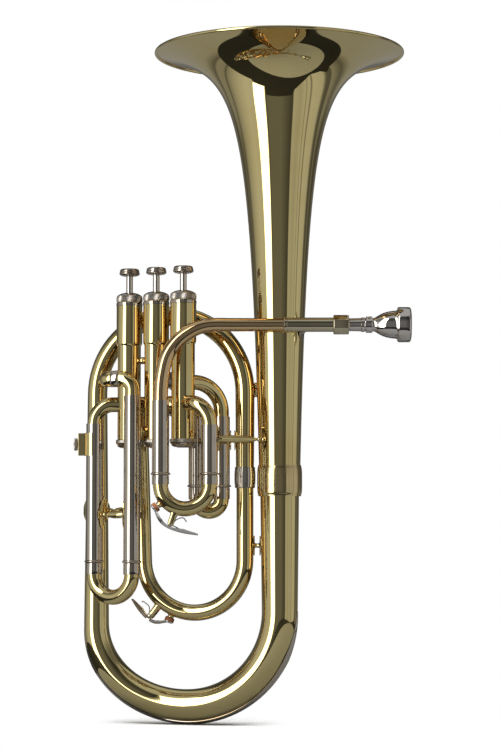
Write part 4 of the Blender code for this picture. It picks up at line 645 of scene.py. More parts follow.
pipe_spots = [(x, PIPE_HEIGHT) for x in (PIPE_END, -0.0200, -0.0400, -0.0520)]
pipe_spots += [(-0.0618, 0.3213), (-0.0720, 0.3170), (-0.0829, 0.3088), (-0.0909, 0.2969), (-0.0946, 0.2816)]
pipe_spots += [(-0.0957, height) for height in (0.2690, TUNING_LEFT_TOP, TUNING_LEFT_TOP - 0.006)]
pipe_path = through([at(x, TUNING_PLANE, height) for x, height in pipe_spots])
finished(tube(pipe_path, eased(PIPE_AT_RECEIVER, TUBE_RADIUS, len(pipe_path)), 44, UP), "leadpipe_tube",
         ROSE_BRASS, "leadpipe")


# The receiver. A nickel silver tube over the end of the leadpipe, with a ring at its start and an
# eight-sided collar where the mouthpiece goes in; a foot and a short bar braze it to the bell.
WARM_NICKEL = polished("lacquered_nickel", (0.72, 0.66, 0.47), (0.56, 0.48, 0.31), polish=0.025,
                       smudges=0.05, waves=0.012, coat=0.2)
RECEIVER_START = PIPE_END + GAP
RECEIVER_END = RECEIVER_START + 0.0524
COLLAR_START = RECEIVER_END - 0.0128
COLLAR_LENGTH = 0.0124
COLLAR_BORE = 0.0056
COLLAR_SKIN = 0.0083
FOOT_SHEET = 0.0008
receiver_line = aimed(at(RECEIVER_START, TUNING_PLANE, PIPE_HEIGHT), -LEFT)
receiver_profile = from_millimetres([(4.6, 0), (6.4, 0), (6.4, 2.2), (5.8, 2.4), (5.8, 52.0), (5.4, 52.4),
                                     (5.0, 32.4), (4.6, 32.4)])
finished(turned(receiver_profile, receiver_line, 48, rounding=0.00012), "receiver_tube", WARM_NICKEL,
         "mouthpiece_receiver")
collar_line = aimed(at(COLLAR_START, TUNING_PLANE, PIPE_HEIGHT), -LEFT)
collar_line = collar_line @ Matrix.Rotation(math.radians(22.5), 4, "Z")
collar = turned([(COLLAR_BORE, 0.0), (COLLAR_SKIN, 0.0), (COLLAR_SKIN, COLLAR_LENGTH),
                 (COLLAR_BORE, COLLAR_LENGTH)], collar_line, 8)
bmesh.ops.remove_doubles(collar, verts=collar.verts, dist=DOUBLES)
into_collar = collar_line.inverted()
skin_edges = [edge for edge in collar.edges
              if max((into_collar @ spot.co).to_2d().length for spot in edge.verts) > 0.0070]
rounded(collar, skin_edges, 0.0006)
finished(collar, "receiver_collar", WARM_NICKEL, "mouthpiece_receiver")


def lozenge_foot(spot, height, way, length, width, radius_at, lift=0.0):
    """A lozenge of sheet brass bent round an upright tube, whose radius may change with height."""
    bm = bmesh.new()
    bmesh.ops.create_grid(bm, x_segments=12, y_segments=16, size=0.5)
    for corner in bm.verts:
        across, along = corner.co.x * 2, corner.co.y * 2
        narrow = (1 - abs(along)) ** 0.75 * 0.94 + 0.06
        rise = height + along * length / 2
        radius = radius_at(rise) + GAP
        turn = math.atan2(way.y, way.x) + across * narrow * width / 2 / radius
        radius += lift * narrow * across ** 4
        corner.co = at(spot[0] + radius * math.cos(turn), spot[1] + radius * math.sin(turn), rise)
    bmesh.ops.recalc_face_normals(bm, faces=bm.faces)
    face = next(iter(bm.faces))
    if (face.calc_center_median() - at(*spot, height)).to_2d().dot(face.normal.to_2d()) < 0:
        bmesh.ops.reverse_faces(bm, faces=bm.faces)
    bmesh.ops.solidify(bm, geom=bm.faces[:], thickness=-FOOT_SHEET)
    return bm


BAR_HEIGHT = 0.3180
BAR_TURN = math.radians(60)
AXIS = Vector((0, 0))
receiver_way = Vector((math.sin(BAR_TURN), -math.cos(BAR_TURN)))
foot = lozenge_foot(AXIS, BAR_HEIGHT, receiver_way, 0.014, 0.009, flare_radius)
finished(foot, "receiver_foot", NICKEL, "mouthpiece_receiver")
bar_start = at(*(receiver_way * (flare_radius(BAR_HEIGHT) + GAP)), BAR_HEIGHT)
bar_end = at(0.0280, TUNING_PLANE + 0.0056, PIPE_HEIGHT)
bar = spindle(bar_start, bar_end, [(0.0022, 0), (0.0014, 0.3), (0.0014, 0.75), (0.0020, 1)])
finished(bar, "receiver_bar", NICKEL, "mouthpiece_receiver")


# The mouthpiece. Turned from one bar of brass and silver plated: a tapered shank, two small rings, a swelling
# cup and a broad rim, drilled through and polished. It is only pushed into the receiver.
mouth_line = aimed(at(RECEIVER_END, TUNING_PLANE, PIPE_HEIGHT), -LEFT)
mouth_profile = from_millimetres([
    (10.0, 49.5), (11.2, 49.6), (12.6, 49.4), (13.7, 48.8), (14.2, 47.8), (14.2, 39.6), (13.8, 38.8),
    (12.0, 38.4), (11.4, 37.4), (11.2, 35.0), (10.8, 32.2), (10.2, 29.4), (9.3, 26.8), (8.1, 24.4),
    (6.8, 22.2), (5.8, 20.7), (5.5, 19.6), (5.5, 18.6), (6.4, 18.2), (6.7, 17.6), (6.7, 16.2), (6.4, 14.8),
    (6.7, 14.0), (6.6, 13.4), (5.5, 13.0), (5.4, 12.6), (5.8, 12.2), (5.9, 11.0), (5.8, 9.6), (5.4, 9.2),
    (5.3, 6.0), (5.2, 1.0), (5.1, 0), (4.7, -19.5), (2.8, -19.5), (2.2, 24.6), (2.2, 28.6), (3.4, 31.8),
    (5.6, 35.6), (7.4, 40.0), (8.4, 44.0), (9.0, 47.4), (9.3, 48.6)])
finished(turned(mouth_profile, mouth_line, 96), "mouthpiece_body", SILVER, "mouthpiece", body="mouthpiece")


# The slides. Every slide runs in nickel silver sleeves with a bead ring at the mouth; the slide itself has
# two nickel legs, a nickel ferrule at the end of each, and a bow of brass between them.
SLEEVE = 0.0069
SLEEVE_BORE = 0.00645
RING = 0.0080
RING_HALF = 0.0009
LEG = 0.0060
LEG_BORE = 0.0054
INSERT = 0.006
BOW_END = 0.0058
BOW_TUCK = 0.003


def sleeve(name, where, top, ring, node_name, number=None):
    """An outer slide tube with its bead ring, between two heights of its own frame."""
    profile = [(SLEEVE_BORE, top), (SLEEVE, top), (SLEEVE, ring + RING_HALF + 0.0002)]
    profile += arc(SLEEVE, ring, RING - SLEEVE, RING_HALF, range(75, -76, -25))
    profile += [(SLEEVE, ring - RING_HALF), (SLEEVE_BORE, ring - RING_HALF)]
    outer = turned(profile, where, 48)
    if number:
        coped(outer, number)
    finished(outer, name, NICKEL, node_name)


def slide(body, first, second, out, leg_top, ring, spring, node_name):
    """A slide: legs, ferrules and bow. first and second give a point up each leg for a height."""
    drop = abs(ring - RING_HALF - GAP - spring)
    length = abs(leg_top - spring)
    profile = [(LEG_BORE, 0.0), (SLEEVE, 0.0), (SLEEVE, drop), (LEG, drop), (LEG, length), (LEG_BORE, length)]
    for side, axis in (("left", first), ("right", second)):
        leg = turned(profile, aimed(axis(spring), axis(leg_top) - axis(spring)), 48, rounding=0.00012)
        finished(leg, f"{body}_leg_{side}", NICKEL, node_name, body=body)
    middle = (first(spring) + second(spring)) / 2
    reach = first(spring) - middle
    turn = bend(middle, reach, out * reach.length, math.pi)
    path = [first(spring) - out * BOW_TUCK] + turn + [second(spring) - out * BOW_TUCK]
    finished(tube(path, [BOW_END] + [TUBE_RADIUS] * len(turn) + [BOW_END]), f"{body}_bow", YELLOW_BRASS,
             node_name, body=body)


def hanging_slide(prefix, body, node_name, left, right, left_top, right_top, ring, spring):
    """Two upright sleeves and the slide that hangs in them, its legs a little short of the lower sleeve."""
    for side, spot, top in (("left", left, left_top), ("right", right, right_top)):
        sleeve(f"{prefix}_sleeve_tube_{side}", upright(*spot), top, ring, f"{prefix}_sleeve_{side}")
    slide(body, lambda height: at(*left, height), lambda height: at(*right, height), -UP,
          min(left_top, right_top) - INSERT - 0.001, ring, spring, node_name)


def elbow(name, path, number, node_name):
    """A brass elbow from a sleeve to a valve."""
    bent = coped(tube(path, [TUBE_RADIUS] * len(path), 44), number)
    finished(bent, name, YELLOW_BRASS, node_name)


def elbow_to_valve(name, leg, top, number, port, reach, node_name):
    """An elbow that rises out of a sleeve and turns level into a valve."""
    way = (VALVES[number] - leg).normalized()
    centre = at(*(leg + way * reach), port - reach)
    turn = bend(centre, -way.to_3d() * reach, UP * reach)
    path = [at(*leg, top - INSERT)] + turn + [at(*(VALVES[number] - way * PORT_DEPTH), port)]
    elbow(name, path, number, node_name)


# The main tuning slide, in front of the valves. It is drawn down to lower the whole horn's pitch, and its
# right sleeve rises into valve 1 through a short elbow that leans back and turns at once.
TUNING_RIGHT_TOP = 0.2420
TUNING_RING = 0.2028
TUNING_SPRING = 0.1944
PORT_TURN = math.radians(32)
RUN_UP = 0.0130
RUN_OUT = 0.0125
hanging_slide("tuning", "tuning_slide", "tuning_slide", TUNING_LEFT, TUNING_RIGHT, TUNING_LEFT_TOP,
              TUNING_RIGHT_TOP, TUNING_RING, TUNING_SPRING)
port_way = Vector((math.sin(PORT_TURN), -math.cos(PORT_TURN), 0))
port = at(*VALVES[1], LOW_PORT) + port_way * LOWER_CASING
mouth = at(*TUNING_RIGHT, TUNING_RIGHT_TOP)
controls = (mouth, mouth + UP * RUN_UP, port + port_way * RUN_OUT, port)
tuning_run = [mouth - UP * INSERT]
for step in range(25):
    t = step / 24
    weights = ((1 - t) ** 3, 3 * t * (1 - t) ** 2, 3 * t * t * (1 - t), t ** 3)
    tuning_run.append(sum((spot * weight for spot, weight in zip(controls, weights)), Vector((0, 0, 0))))
tuning_run.append(port - port_way * 0.003)
elbow("tuning_elbow_tube", tuning_run, 1, "tuning_elbow")


# The third valve slide, the long one at the left, with a low elbow and a high one that folds back on itself
# and carries a nickel joint sleeve.
SLIDE_3_LEFT = Vector((-0.1511, 0.0105))
SLIDE_3_RIGHT = Vector((-0.1194, -0.0088))
SLIDE_3_LEFT_TOP = 0.2447
SLIDE_3_RIGHT_TOP = 0.2666
SLIDE_3_RING = 0.1324
SLIDE_3_SPRING = 0.1222
HIGH_PORT_3 = 0.2807
HIGH_BEND = 0.0100
HIGH_RUN = 0.018
HIGH_TILT = math.radians(18)
JOINT_LENGTH = 0.0077
JOINT_BORE = 0.0059
JOINT_SKIN = 0.0064
hanging_slide("slide_3", "third_slide", "slide_3", SLIDE_3_LEFT, SLIDE_3_RIGHT, SLIDE_3_LEFT_TOP,
              SLIDE_3_RIGHT_TOP, SLIDE_3_RING, SLIDE_3_SPRING)
elbow_to_valve("slide_3_low_elbow", SLIDE_3_LEFT, SLIDE_3_LEFT_TOP, 3, LOW_PORT,
               LOW_PORT - SLIDE_3_LEFT_TOP - 0.0006, "slide_3_elbow_low")
run_way = Vector((-math.cos(HIGH_TILT), math.sin(HIGH_TILT), 0))
run_side = Vector((math.sin(HIGH_TILT), math.cos(HIGH_TILT), 0))
run_end = at(*SLIDE_3_RIGHT, HIGH_PORT_3) + run_way * HIGH_RUN
fold = (VALVES[3].y - run_end.y) / (1 + math.cos(HIGH_TILT))
high_path = [at(*SLIDE_3_RIGHT, SLIDE_3_RIGHT_TOP - INSERT)]
high_path += bend(at(*SLIDE_3_RIGHT, HIGH_PORT_3 - HIGH_BEND) + run_way * HIGH_BEND, -run_way * HIGH_BEND,
                  UP * HIGH_BEND)
high_path += bend(run_end + run_side * fold, -run_side * fold, run_way * fold, math.pi - HIGH_TILT, 28)
high_path.append(at(VALVES[3].x - PORT_DEPTH, VALVES[3].y, HIGH_PORT_3))
elbow("slide_3_high_elbow", high_path, 3, "slide_3_elbow_high")
joint_sleeve = sleeve_over(0.0003, JOINT_LENGTH, JOINT_BORE, JOINT_SKIN, aimed(run_end, -run_way), 0.0003)
finished(joint_sleeve, "slide_3_joint_sleeve", NICKEL)


# The first valve slide, behind and right of valve 1. Its right sleeve goes to the side of the valve through
# a tall elbow, and its left sleeve to the back of it through a short one.
SLIDE_1_LEFT = Vector((-0.0672, 0.0028))
SLIDE_1_RIGHT = Vector((-0.0474, 0.0028))
SLIDE_1_TOP = 0.2500
SLIDE_1_RING = 0.1936
SLIDE_1_SPRING = 0.1830
SIDE_PORT_1 = 0.2775
BACK_PORT_1 = 0.2585
SIDE_BEND = 0.024
hanging_slide("slide_1", "first_slide", "slide_1", SLIDE_1_LEFT, SLIDE_1_RIGHT, SLIDE_1_TOP, SLIDE_1_TOP,
              SLIDE_1_RING, SLIDE_1_SPRING)
elbow_to_valve("slide_1_side_elbow", SLIDE_1_RIGHT, SLIDE_1_TOP, 1, SIDE_PORT_1, SIDE_BEND,
               "slide_1_elbow_side")
elbow_to_valve("slide_1_back_elbow", SLIDE_1_LEFT, SLIDE_1_TOP, 1, BACK_PORT_1,
               BACK_PORT_1 - SLIDE_1_TOP - 0.0003, "slide_1_elbow_back")


# The second valve slide, the shortest one. Its two sleeves stand straight out of the back of valve 2, one
# above the other, and the slide is drawn backwards.
HIGH_PORT_2 = 0.2810
LOW_PORT_2 = 0.2590
SLIDE_2_FAR = LOWER_CASING + 0.022
for place_name, height in (("high", HIGH_PORT_2), ("low", LOW_PORT_2)):
    sleeve(f"slide_2_sleeve_tube_{place_name}", aimed(at(*VALVES[2], height), -back), -LOWER_CASING * 0.85,
           -SLIDE_2_FAR, f"slide_2_sleeve_{place_name}", 2)
slide("second_slide", lambda reach: at(*(VALVES[2] - ROW_BACK * reach), HIGH_PORT_2),
      lambda reach: at(*(VALVES[2] - ROW_BACK * reach), LOW_PORT_2), back, -(LOWER_CASING + 0.003),
      -SLIDE_2_FAR, -SLIDE_2_FAR - RING_HALF - 0.0060, "slide_2")


# The braces. Turned brass spindles with a ball at one end and a slim swelling waist, soldered between
# lozenge shaped feet that lie on the tubes they hold apart.
FOOT_WIDTH = 0.009
WIDE_FOOT_WIDTH = 0.032
SHORT_RUN = 0.018
BALL = 0.0020


def steady(radius):
    """A tube whose radius doesn't change with height."""
    return lambda height: radius


def way_between(first, second):
    """The level direction from one plan place to another."""
    return (second - first).normalized()


def brace(name, near, far, height, waist, length, ways=None, wide_foot=None):
    """A spindle and its two feet. near and far are plan places and radii by height; ways point outwards."""
    ways = ways or (way_between(near[0], far[0]), way_between(far[0], near[0]))
    ends = []
    for side, (spot, radius_at), way in (("near", near, ways[0]), ("far", far, ways[1])):
        if wide_foot and side == "near":
            foot = lozenge_foot(spot, height, wide_foot, length, WIDE_FOOT_WIDTH, radius_at, 0.0007)
        else:
            foot = lozenge_foot(spot, height, way, length, FOOT_WIDTH, radius_at)
        finished(foot, f"{name}_foot_{side}", YELLOW_BRASS, name)
        ends.append(at(*(spot + way * (radius_at(height) + GAP + FOOT_SHEET / 2)), height))
    run = (ends[1] - ends[0]).length
    if run > SHORT_RUN:
        profile = [(BALL, 0), (0.0012, 0.0007 / run)]
        profile += [(radius, rise / run) for radius, rise in arc(0, 0.0027, BALL, BALL, range(-75, 76, 25))]
        profile.append((0.0010, 0.0050 / run))
        for step in range(13):
            share = step / 12
            swell = math.sin(math.pi * 0.85 * share ** 0.8) ** 0.75
            profile.append((0.0013 + (waist - 0.0013) * swell, (0.0055 + (run - 0.0055) * share) / run))
    else:
        profile = [(waist * wide, share) for wide, share in ((1.35, 0), (0.9, 0.18), (0.75, 0.5), (0.9, 0.82),
                                                            (1.35, 1))]
    finished(spindle(*ends, profile), f"{name}_spindle", YELLOW_BRASS, name)


BELL_BRACE_TURN = math.radians(52)
LEFT_BRACE_HEIGHT = 0.1740
BOW_AT_LOOP_BRACE = 0.0154
on_bell = (AXIS, flare_radius)
on_branch = (BRANCH_LEG, steady(BRANCH_MIDDLE))
on_tuning = (TUNING_RIGHT, steady(SLEEVE))
on_slide_1 = (SLIDE_1_RIGHT, steady(SLEEVE))
on_slide_3_left = (SLIDE_3_LEFT, steady(SLEEVE))
on_slide_3_right = (SLIDE_3_RIGHT, steady(SLEEVE))
bell_way = Vector((-math.sin(BELL_BRACE_TURN), -math.cos(BELL_BRACE_TURN)))
height = BELL_JOINT + FERRULE_HALF + 0.0204
tuning_way = way_between(TUNING_RIGHT, bell_way * flare_radius(height + 0.010))
brace("brace_tuning_bell", on_bell, on_tuning, height, 0.0031, 0.020, (bell_way, tuning_way))
brace("brace_slide_3_valve", on_slide_3_right, (VALVES[2], steady(LOWER_CASING)), 0.2372, 0.0022, 0.010)
brace("brace_slide_1_branch", on_slide_1, on_branch, BRANCH_JOINT + BRANCH_SLEEVE_HALF + 0.0219, 0.0014,
      0.016)
brace("brace_branch_bell", on_branch, on_bell, RIM_HEIGHT - 0.2767, 0.0022, 0.012)
brace("brace_loop_bell", (BRANCH_LEG, steady(LOOP_AT_FERRULE)), (AXIS, steady(BOW_AT_LOOP_BRACE)), 0.1454,
      0.0022, 0.016)
brace("brace_slide_3", on_slide_3_left, on_slide_3_right, 0.1705, 0.0032, 0.023)
share = (LEFT_BRACE_HEIGHT - LOOP_SPRING) / (LOW_PORT - loop_elbow - LOOP_SPRING)
on_loop = (LOOP_LEFT.lerp(loop_leg, share), steady(LOOP_AT_VALVE + 0.0003))
brace("brace_left_leg", (LEFT_LEG, steady(BOW_AT_LEFT - 0.0008)), on_loop, LEFT_BRACE_HEIGHT, 0.0029, 0.031,
      wide_foot=way_between(LEFT_LEG, SLIDE_3_LEFT))


# The water keys. Each is a bent silver plated lever on a pin between two soldered ears, with a cup that
# presses a cork on a nipple, held shut by a fine steel spring wound round the pin.
CORK, cork_tree, cork_shader = blank_material("cork")
cork_where = wired(cork_tree, "TexCoord", output="Object")
cells = wired(cork_tree, "TexVoronoi", ("Vector", cork_where), ("Scale", 1400.0))
grain = wired(cork_tree, "TexNoise", ("Vector", cork_where), ("Scale", 700.0), ("Detail", 6.0))
tan = wired(cork_tree, "Mix", ("Factor", grain), ("A", (0.42, 0.18, 0.075, 1.0)),
            ("B", (0.24, 0.075, 0.028, 1.0)), data_type="RGBA")
pores = wired(cork_tree, "Bump", ("Strength", 0.6), ("Distance", 0.0003), ("Height", cells))
cork_shader["Roughness"].default_value = 0.85
cork_tree.links.new(tan, cork_shader["Base Color"])
cork_tree.links.new(pores, cork_shader["Normal"])
PLATED_KEY = polished("plated_key", (0.92, 0.91, 0.90), (0.74, 0.72, 0.70), tone=0.4,
                      polish=0.22, waves=0.0)
NIPPLE_TALL = 0.0020
PAD_THICK = 0.0026
LINE_ABOVE_PIN = 0.0047
EYE_HALF = 0.0023
EAR_WIDE = 0.0026
EAR_THICK = 0.0014
KEY_WIDE = 0.0040
KEY_DEEP = 0.0036
KEY_SHEET = 0.0012
KEY_WIDTHS = (0.50, 0.78, 0.52, 0.95, 0.35)
COIL = 0.0014
WIRE = 0.00045


def water_key(prefix, body, key_body, centre, along, cork_turn, reach, tube_radius, spots, mount):
    """A water key with its ears, pin, nipple and spring; mount is the solid that carries them."""
    lever = f"{prefix}_lever"
    normal = along.cross(UP).normalized()
    pivot, tip, *wire_spots = [centre + along * run + UP * climb for run, climb in from_millimetres(spots)]
    way = along * math.cos(cork_turn) + UP * math.sin(cork_turn)
    skin = centre + way * (reach + tube_radius)
    seat = skin + way * (NIPPLE_TALL + GAP)
    cup_base = seat + way * PAD_THICK
    nipple = turned(from_millimetres([(0, -0.8), (3.2, -0.8), (2.9, 0.3), (2.6, 1.0), (2.6, 1.6), (2.3, 2.0),
                                      (0, 2.0)]), aimed(skin, way), 32, closed=False, rounding=0.0001)
    finished(nipple, f"{prefix}_nipple", YELLOW_BRASS, mount, body=body)
    pad = turned(from_millimetres([(0, 0), (3.6, 0), (3.9, 0.4), (4.0, 2.6), (0, 2.6)]), aimed(seat, way), 40,
                 closed=False, rounding=0.0002)
    finished(pad, f"{prefix}_cork_pad", CORK, f"{prefix}_cork", body=key_body)
    cup = turned(from_millimetres([(0, 0), (3.9, 0), (4.0, 0.6), (3.4, 1.4), (2.0, 1.8), (0, 1.9)]),
                 aimed(cup_base, way), 40, closed=False, rounding=0.00015)
    finished(cup, f"{prefix}_cup", PLATED_KEY, lever, body=key_body)

    outward = (pivot - centre).normalized()
    across = normal.cross(outward)
    cup_top = cup_base + way * 0.0014
    under = pivot + outward * LINE_ABOVE_PIN
    line = through([cup_top, (cup_top + under) / 2 + (way + outward) * 0.0014, under,
                    (under + tip) / 2 + outward * 0.0010, tip], 7)
    steps = [share / 5 - 1 for share in range(11)]
    outer = [(KEY_WIDE * share, -KEY_DEEP * share ** 2) for share in steps]
    inner = [(KEY_WIDE * share * 0.9, -KEY_DEEP * share ** 2 * 0.86 - KEY_SHEET * (1 - 0.5 * share ** 2))
             for share in reversed(steps)]
    widths = []
    for start, end in zip(KEY_WIDTHS, KEY_WIDTHS[1:]):
        widths += eased(start, end, 8)[:-1]
    widths.append(KEY_WIDTHS[-1])
    finished(drawn(outlined(outer + inner), line, widths, normal), f"{prefix}_arm", PLATED_KEY, lever,
             body=key_body)
    lug = outlined([(-0.0013, -EYE_HALF * 0.8), (0.0013, -EYE_HALF * 0.8), (0.0013, 0.0004),
                    (-0.0013, 0.0004)])
    drawn(lug, [pivot + outward * 0.0012, under], [1.0, 1.0], across)
    finished(lug, f"{prefix}_lug", SILVER, lever, body=key_body)
    eye = turned([(0.0009, -EYE_HALF), (0.0020, -EYE_HALF), (0.0020, 0.0005), (0.0009, 0.0005)],
                 aimed(pivot, normal), 32, rounding=0.0002)
    finished(eye, f"{prefix}_eye", SILVER, lever, body=key_body)

    far = EYE_HALF + GAP + EAR_THICK
    pin_profile = from_millimetres([(0, -0.6), (1.2, -0.4), (1.7, 0.2), (1.7, 0.6), (0.8, 0.6)], -far)
    pin_profile += from_millimetres([(0.8, 0.2), (1.4, 0.2), (1.0, 0.6), (0, 0.7)], far)
    pin = turned(pin_profile, aimed(pivot, normal), 24, closed=False, rounding=0.0001)
    finished(pin, f"{prefix}_pin", NICKEL, mount, body=body)
    drop = (pivot - centre).length - reach - tube_radius
    levels_out = [-drop - 0.0012, -drop + 0.0008, -drop + 0.0018, 0.0, 0.0009, 0.0016, 0.0021, 0.0024]
    sizes = [1.25, 1.12, 1.0, 0.96, 0.93, 0.80, 0.55, 0.20]
    for side, turn in (("front", 1), ("rear", -1)):
        ear = outlined(arc(0, 0, EAR_WIDE, EAR_THICK * turn, range(0, 181, 15)))
        path = [pivot + outward * level + normal * turn * (EYE_HALF + GAP) for level in levels_out]
        finished(drawn(ear, path, sizes, across), f"{prefix}_ear_{side}", YELLOW_BRASS, mount, body=body)

    coil = []
    for step in range(61):
        turn = math.radians(18 * step)
        coil.append(pivot + normal * (0.0010 + 0.0010 * step / 60)
                    + (outward * math.cos(turn) + across * math.sin(turn)) * COIL)
    lead = coil[-1] + (coil[-1] - coil[-2]).normalized() * 0.0012
    held = through([coil[-1], lead] + [spot + normal * 0.0016 for spot in wire_spots[2:]], 6)
    free = through([coil[0], *(spot + normal * 0.0008 for spot in wire_spots[:2])], 6)
    for part, wire, its_body in (("coil", coil[:-1] + held, body), ("leg", free, key_body)):
        finished(tube(wire, [WIRE] * len(wire), 10, normal), f"{prefix}_spring_{part}", STEEL, body=its_body)


tuning_centre = at((TUNING_LEFT.x + TUNING_RIGHT.x) / 2, TUNING_PLANE, TUNING_SPRING)
water_key("tuning_key", "tuning_slide", "tuning_key", tuning_centre, -LEFT, math.radians(218),
          (TUNING_RIGHT.x - TUNING_LEFT.x) / 2, TUBE_RADIUS,
          ((-11.2, -31.0), (10.5, -40.8), (-8.3, -33.5), (-3.1, -36.3), (-7.5, -28.9), (-3.9, -27.0),
           (-0.9, -27.0), (1.4, -30.0)), "tuning_slide")
water_key("loop_key", "horn", "loop_key", loop_centre, loop_along, math.radians(-66.5), loop_reach,
          LOOP_AT_VALVE,
          ((37.0, -45.5), (54.0, -32.5), (42.1, -45.1), (45.1, -41.3), (39.0, -38.5), (42.2, -35.3),
           (44.6, -33.9), (45.1, -34.9)), "inner_loop")


# The lyre holder. A small brass box soldered to the third slide's left sleeve, open above and below for the
# stem of a music clip, with a knurled thumb screw in its outer wall.
LYRE_WIDTH = 0.0062
LYRE_DEPTH = 0.0088
LYRE_TALL = 0.0181
LYRE_MIDDLE = 0.2187 + LYRE_TALL / 2
SADDLE_TURN = math.radians(154)
SADDLE_HALF = LYRE_TALL / 2 + 0.0002
SADDLE_IN = SLEEVE + 0.0001
SADDLE_OUT = SLEEVE + 0.0014
SCREW_TEETH = 28
lyre_centre = at(SLIDE_3_LEFT.x - SLEEVE - 0.0002 - LYRE_WIDTH / 2, SLIDE_3_LEFT.y, LYRE_MIDDLE)
box = bmesh.new()
bmesh.ops.create_cube(box, size=1.0, matrix=Matrix.Translation(lyre_centre)
                      @ Matrix.Diagonal((LYRE_WIDTH, LYRE_DEPTH, LYRE_TALL, 1)))
ends = [face for face in box.faces if abs(face.normal.z) > 0.9]
bmesh.ops.inset_individual(box, faces=ends, thickness=0.0010, use_even_offset=True)
holes = [face for face in box.faces if abs(face.normal.z) > 0.9
         and face.calc_area() < 0.8 * LYRE_WIDTH * LYRE_DEPTH
         and (face.calc_center_median() - lyre_centre).to_2d().length < 0.0001]
rims = [edge for face in holes for edge in face.edges]
bmesh.ops.delete(box, geom=holes, context="FACES_ONLY")
bmesh.ops.bridge_loops(box, edges=rims)
rounded(box, [edge for edge in box.edges if edge.calc_face_angle(0) > 1], 0.00035)
finished(box, "lyre_box", YELLOW_BRASS, "lyre_holder")
saddle = outlined([(SADDLE_IN, 0, LYRE_MIDDLE - SADDLE_HALF), (SADDLE_OUT, 0, LYRE_MIDDLE - SADDLE_HALF),
                   (SADDLE_OUT, 0, LYRE_MIDDLE + SADDLE_HALF), (SADDLE_IN, 0, LYRE_MIDDLE + SADDLE_HALF)])
bmesh.ops.rotate(saddle, verts=saddle.verts, matrix=Matrix.Rotation(math.pi - SADDLE_TURN / 2, 3, "Z"))
bmesh.ops.spin(saddle, geom=saddle.verts[:] + saddle.edges[:], cent=(0, 0, 0), axis=(0, 0, 1), dvec=(0, 0, 0),
               angle=SADDLE_TURN, steps=28, use_merge=False, use_duplicate=False)
bmesh.ops.holes_fill(saddle, edges=[edge for edge in saddle.edges if edge.is_boundary], sides=0)
bmesh.ops.transform(saddle, matrix=upright(*SLIDE_3_LEFT), verts=saddle.verts)
finished(saddle, "lyre_saddle", YELLOW_BRASS, "lyre_holder")
screw_line = aimed(lyre_centre, LEFT)
head_profile = from_millimetres([(0, 2.8), (3.4, 3.0), (4.7, 2.8), (5.1, 2.3), (5.1, 0.6), (4.6, 0), (2.4, 0),
                                 (1.5, -0.4)], LYRE_WIDTH / 2 + 0.0006)
head_profile += [(0.0015, 0.0025), (0, 0.0025)]
head = turned(head_profile, screw_line, 2 * SCREW_TEETH, closed=False)
finished(notched(head, screw_line, 0.0044, 0.0003, SCREW_TEETH), "lyre_thumb_screw", KNURLED_NICKEL,
         "lyre_screw", body="lyre_screw")


# The studio. The horn stands on a pale round table that melts into white for the camera and shows a painted
# dark grey shade in reflections;
# soft panels stand round it, with a bright strip at the left front, a dark room beyond, and a soft ceiling.
TABLE_MIDDLE = Vector((0.11, -0.07, 0))
TABLE_RADIUS = 0.34
SHADE_MIDDLE = (-0.047, 0.022, 0.0)
SHADE_FROM = 0.03
SHADE_TO = 0.092
FLOOR_DROP = 0.004
PALE, pale, pale_shader = blank_material("pale_table")
pale_shader["Base Color"].default_value = (0.93, 0.93, 0.93, 1.0)
pale_shader["Roughness"].default_value = 0.9
camera_ray = wired(pale, "LightPath", output="Is Camera Ray")
# Painted shade: in reflections the table shows a dark grey instead of its pale colour.
painted_shade_grey = wired(pale, "BsdfDiffuse", ("Color", (0.16, 0.16, 0.16, 1.0)))
surface = wired(pale, "MixShader", (0, camera_ray), (1, painted_shade_grey), (2, pale.nodes["Principled BSDF"].outputs[0]))
away = wired(pale, "VectorMath", (0, wired(pale, "TexCoord", output="Object")), (1, SHADE_MIDDLE),
             operation="DISTANCE")
fade = ranged(pale, away, SHADE_FROM, SHADE_TO, kind="SMOOTHSTEP")
melt = wired(pale, "MixShader", (0, reckoned(pale, "MULTIPLY", fade, camera_ray)), (1, surface),
             (2, wired(pale, "BsdfTransparent")))
pale.links.new(melt, pale.nodes["Material Output"].inputs["Surface"])
table = bmesh.new()
bmesh.ops.create_circle(table, cap_ends=True, segments=128, radius=TABLE_RADIUS,
                        matrix=Matrix.Translation(TABLE_MIDDLE))
covered(table, "studio_table", PALE)

DARK, gloom, dark_shader = blank_material("dark_floor")
dark_shader["Base Color"].default_value = (0.008, 0.008, 0.008, 1.0)
dark_shader["Roughness"].default_value = 0.9
hidden = wired(gloom, "MixShader", (0, wired(gloom, "LightPath", output="Is Camera Ray")),
               (1, gloom.nodes["Principled BSDF"].outputs[0]), (2, wired(gloom, "BsdfTransparent")))
gloom.links.new(hidden, gloom.nodes["Material Output"].inputs["Surface"])
FLOOR_EDGE = ((-180, 0.55), (-64, 0.55), (-60, 0.60), (-34, 0.62), (-31, 0.80), (30, 0.80), (34, 0.69),
              (48, 0.60), (70, 0.48), (92, 0.52), (106, 0.64), (112, 0.55), (180, 0.55))
dark = bmesh.new()
bmesh.ops.create_circle(dark, cap_ends=True, segments=180, radius=1.0)
for spot in dark.verts:
    turn = math.degrees(math.atan2(spot.co.x, -spot.co.y))
    before = max((mark for mark in FLOOR_EDGE if mark[0] <= turn + 0.001), default=FLOOR_EDGE[0])
    after = min((mark for mark in FLOOR_EDGE if mark[0] > turn + 0.001), default=FLOOR_EDGE[-1])
    share = (turn - before[0]) / max(after[0] - before[0], 1)
    spot.co = at(0, 0, -FLOOR_DROP) + spot.co * (before[1] + (after[1] - before[1]) * share)
covered(dark, "studio_dark_floor", DARK)

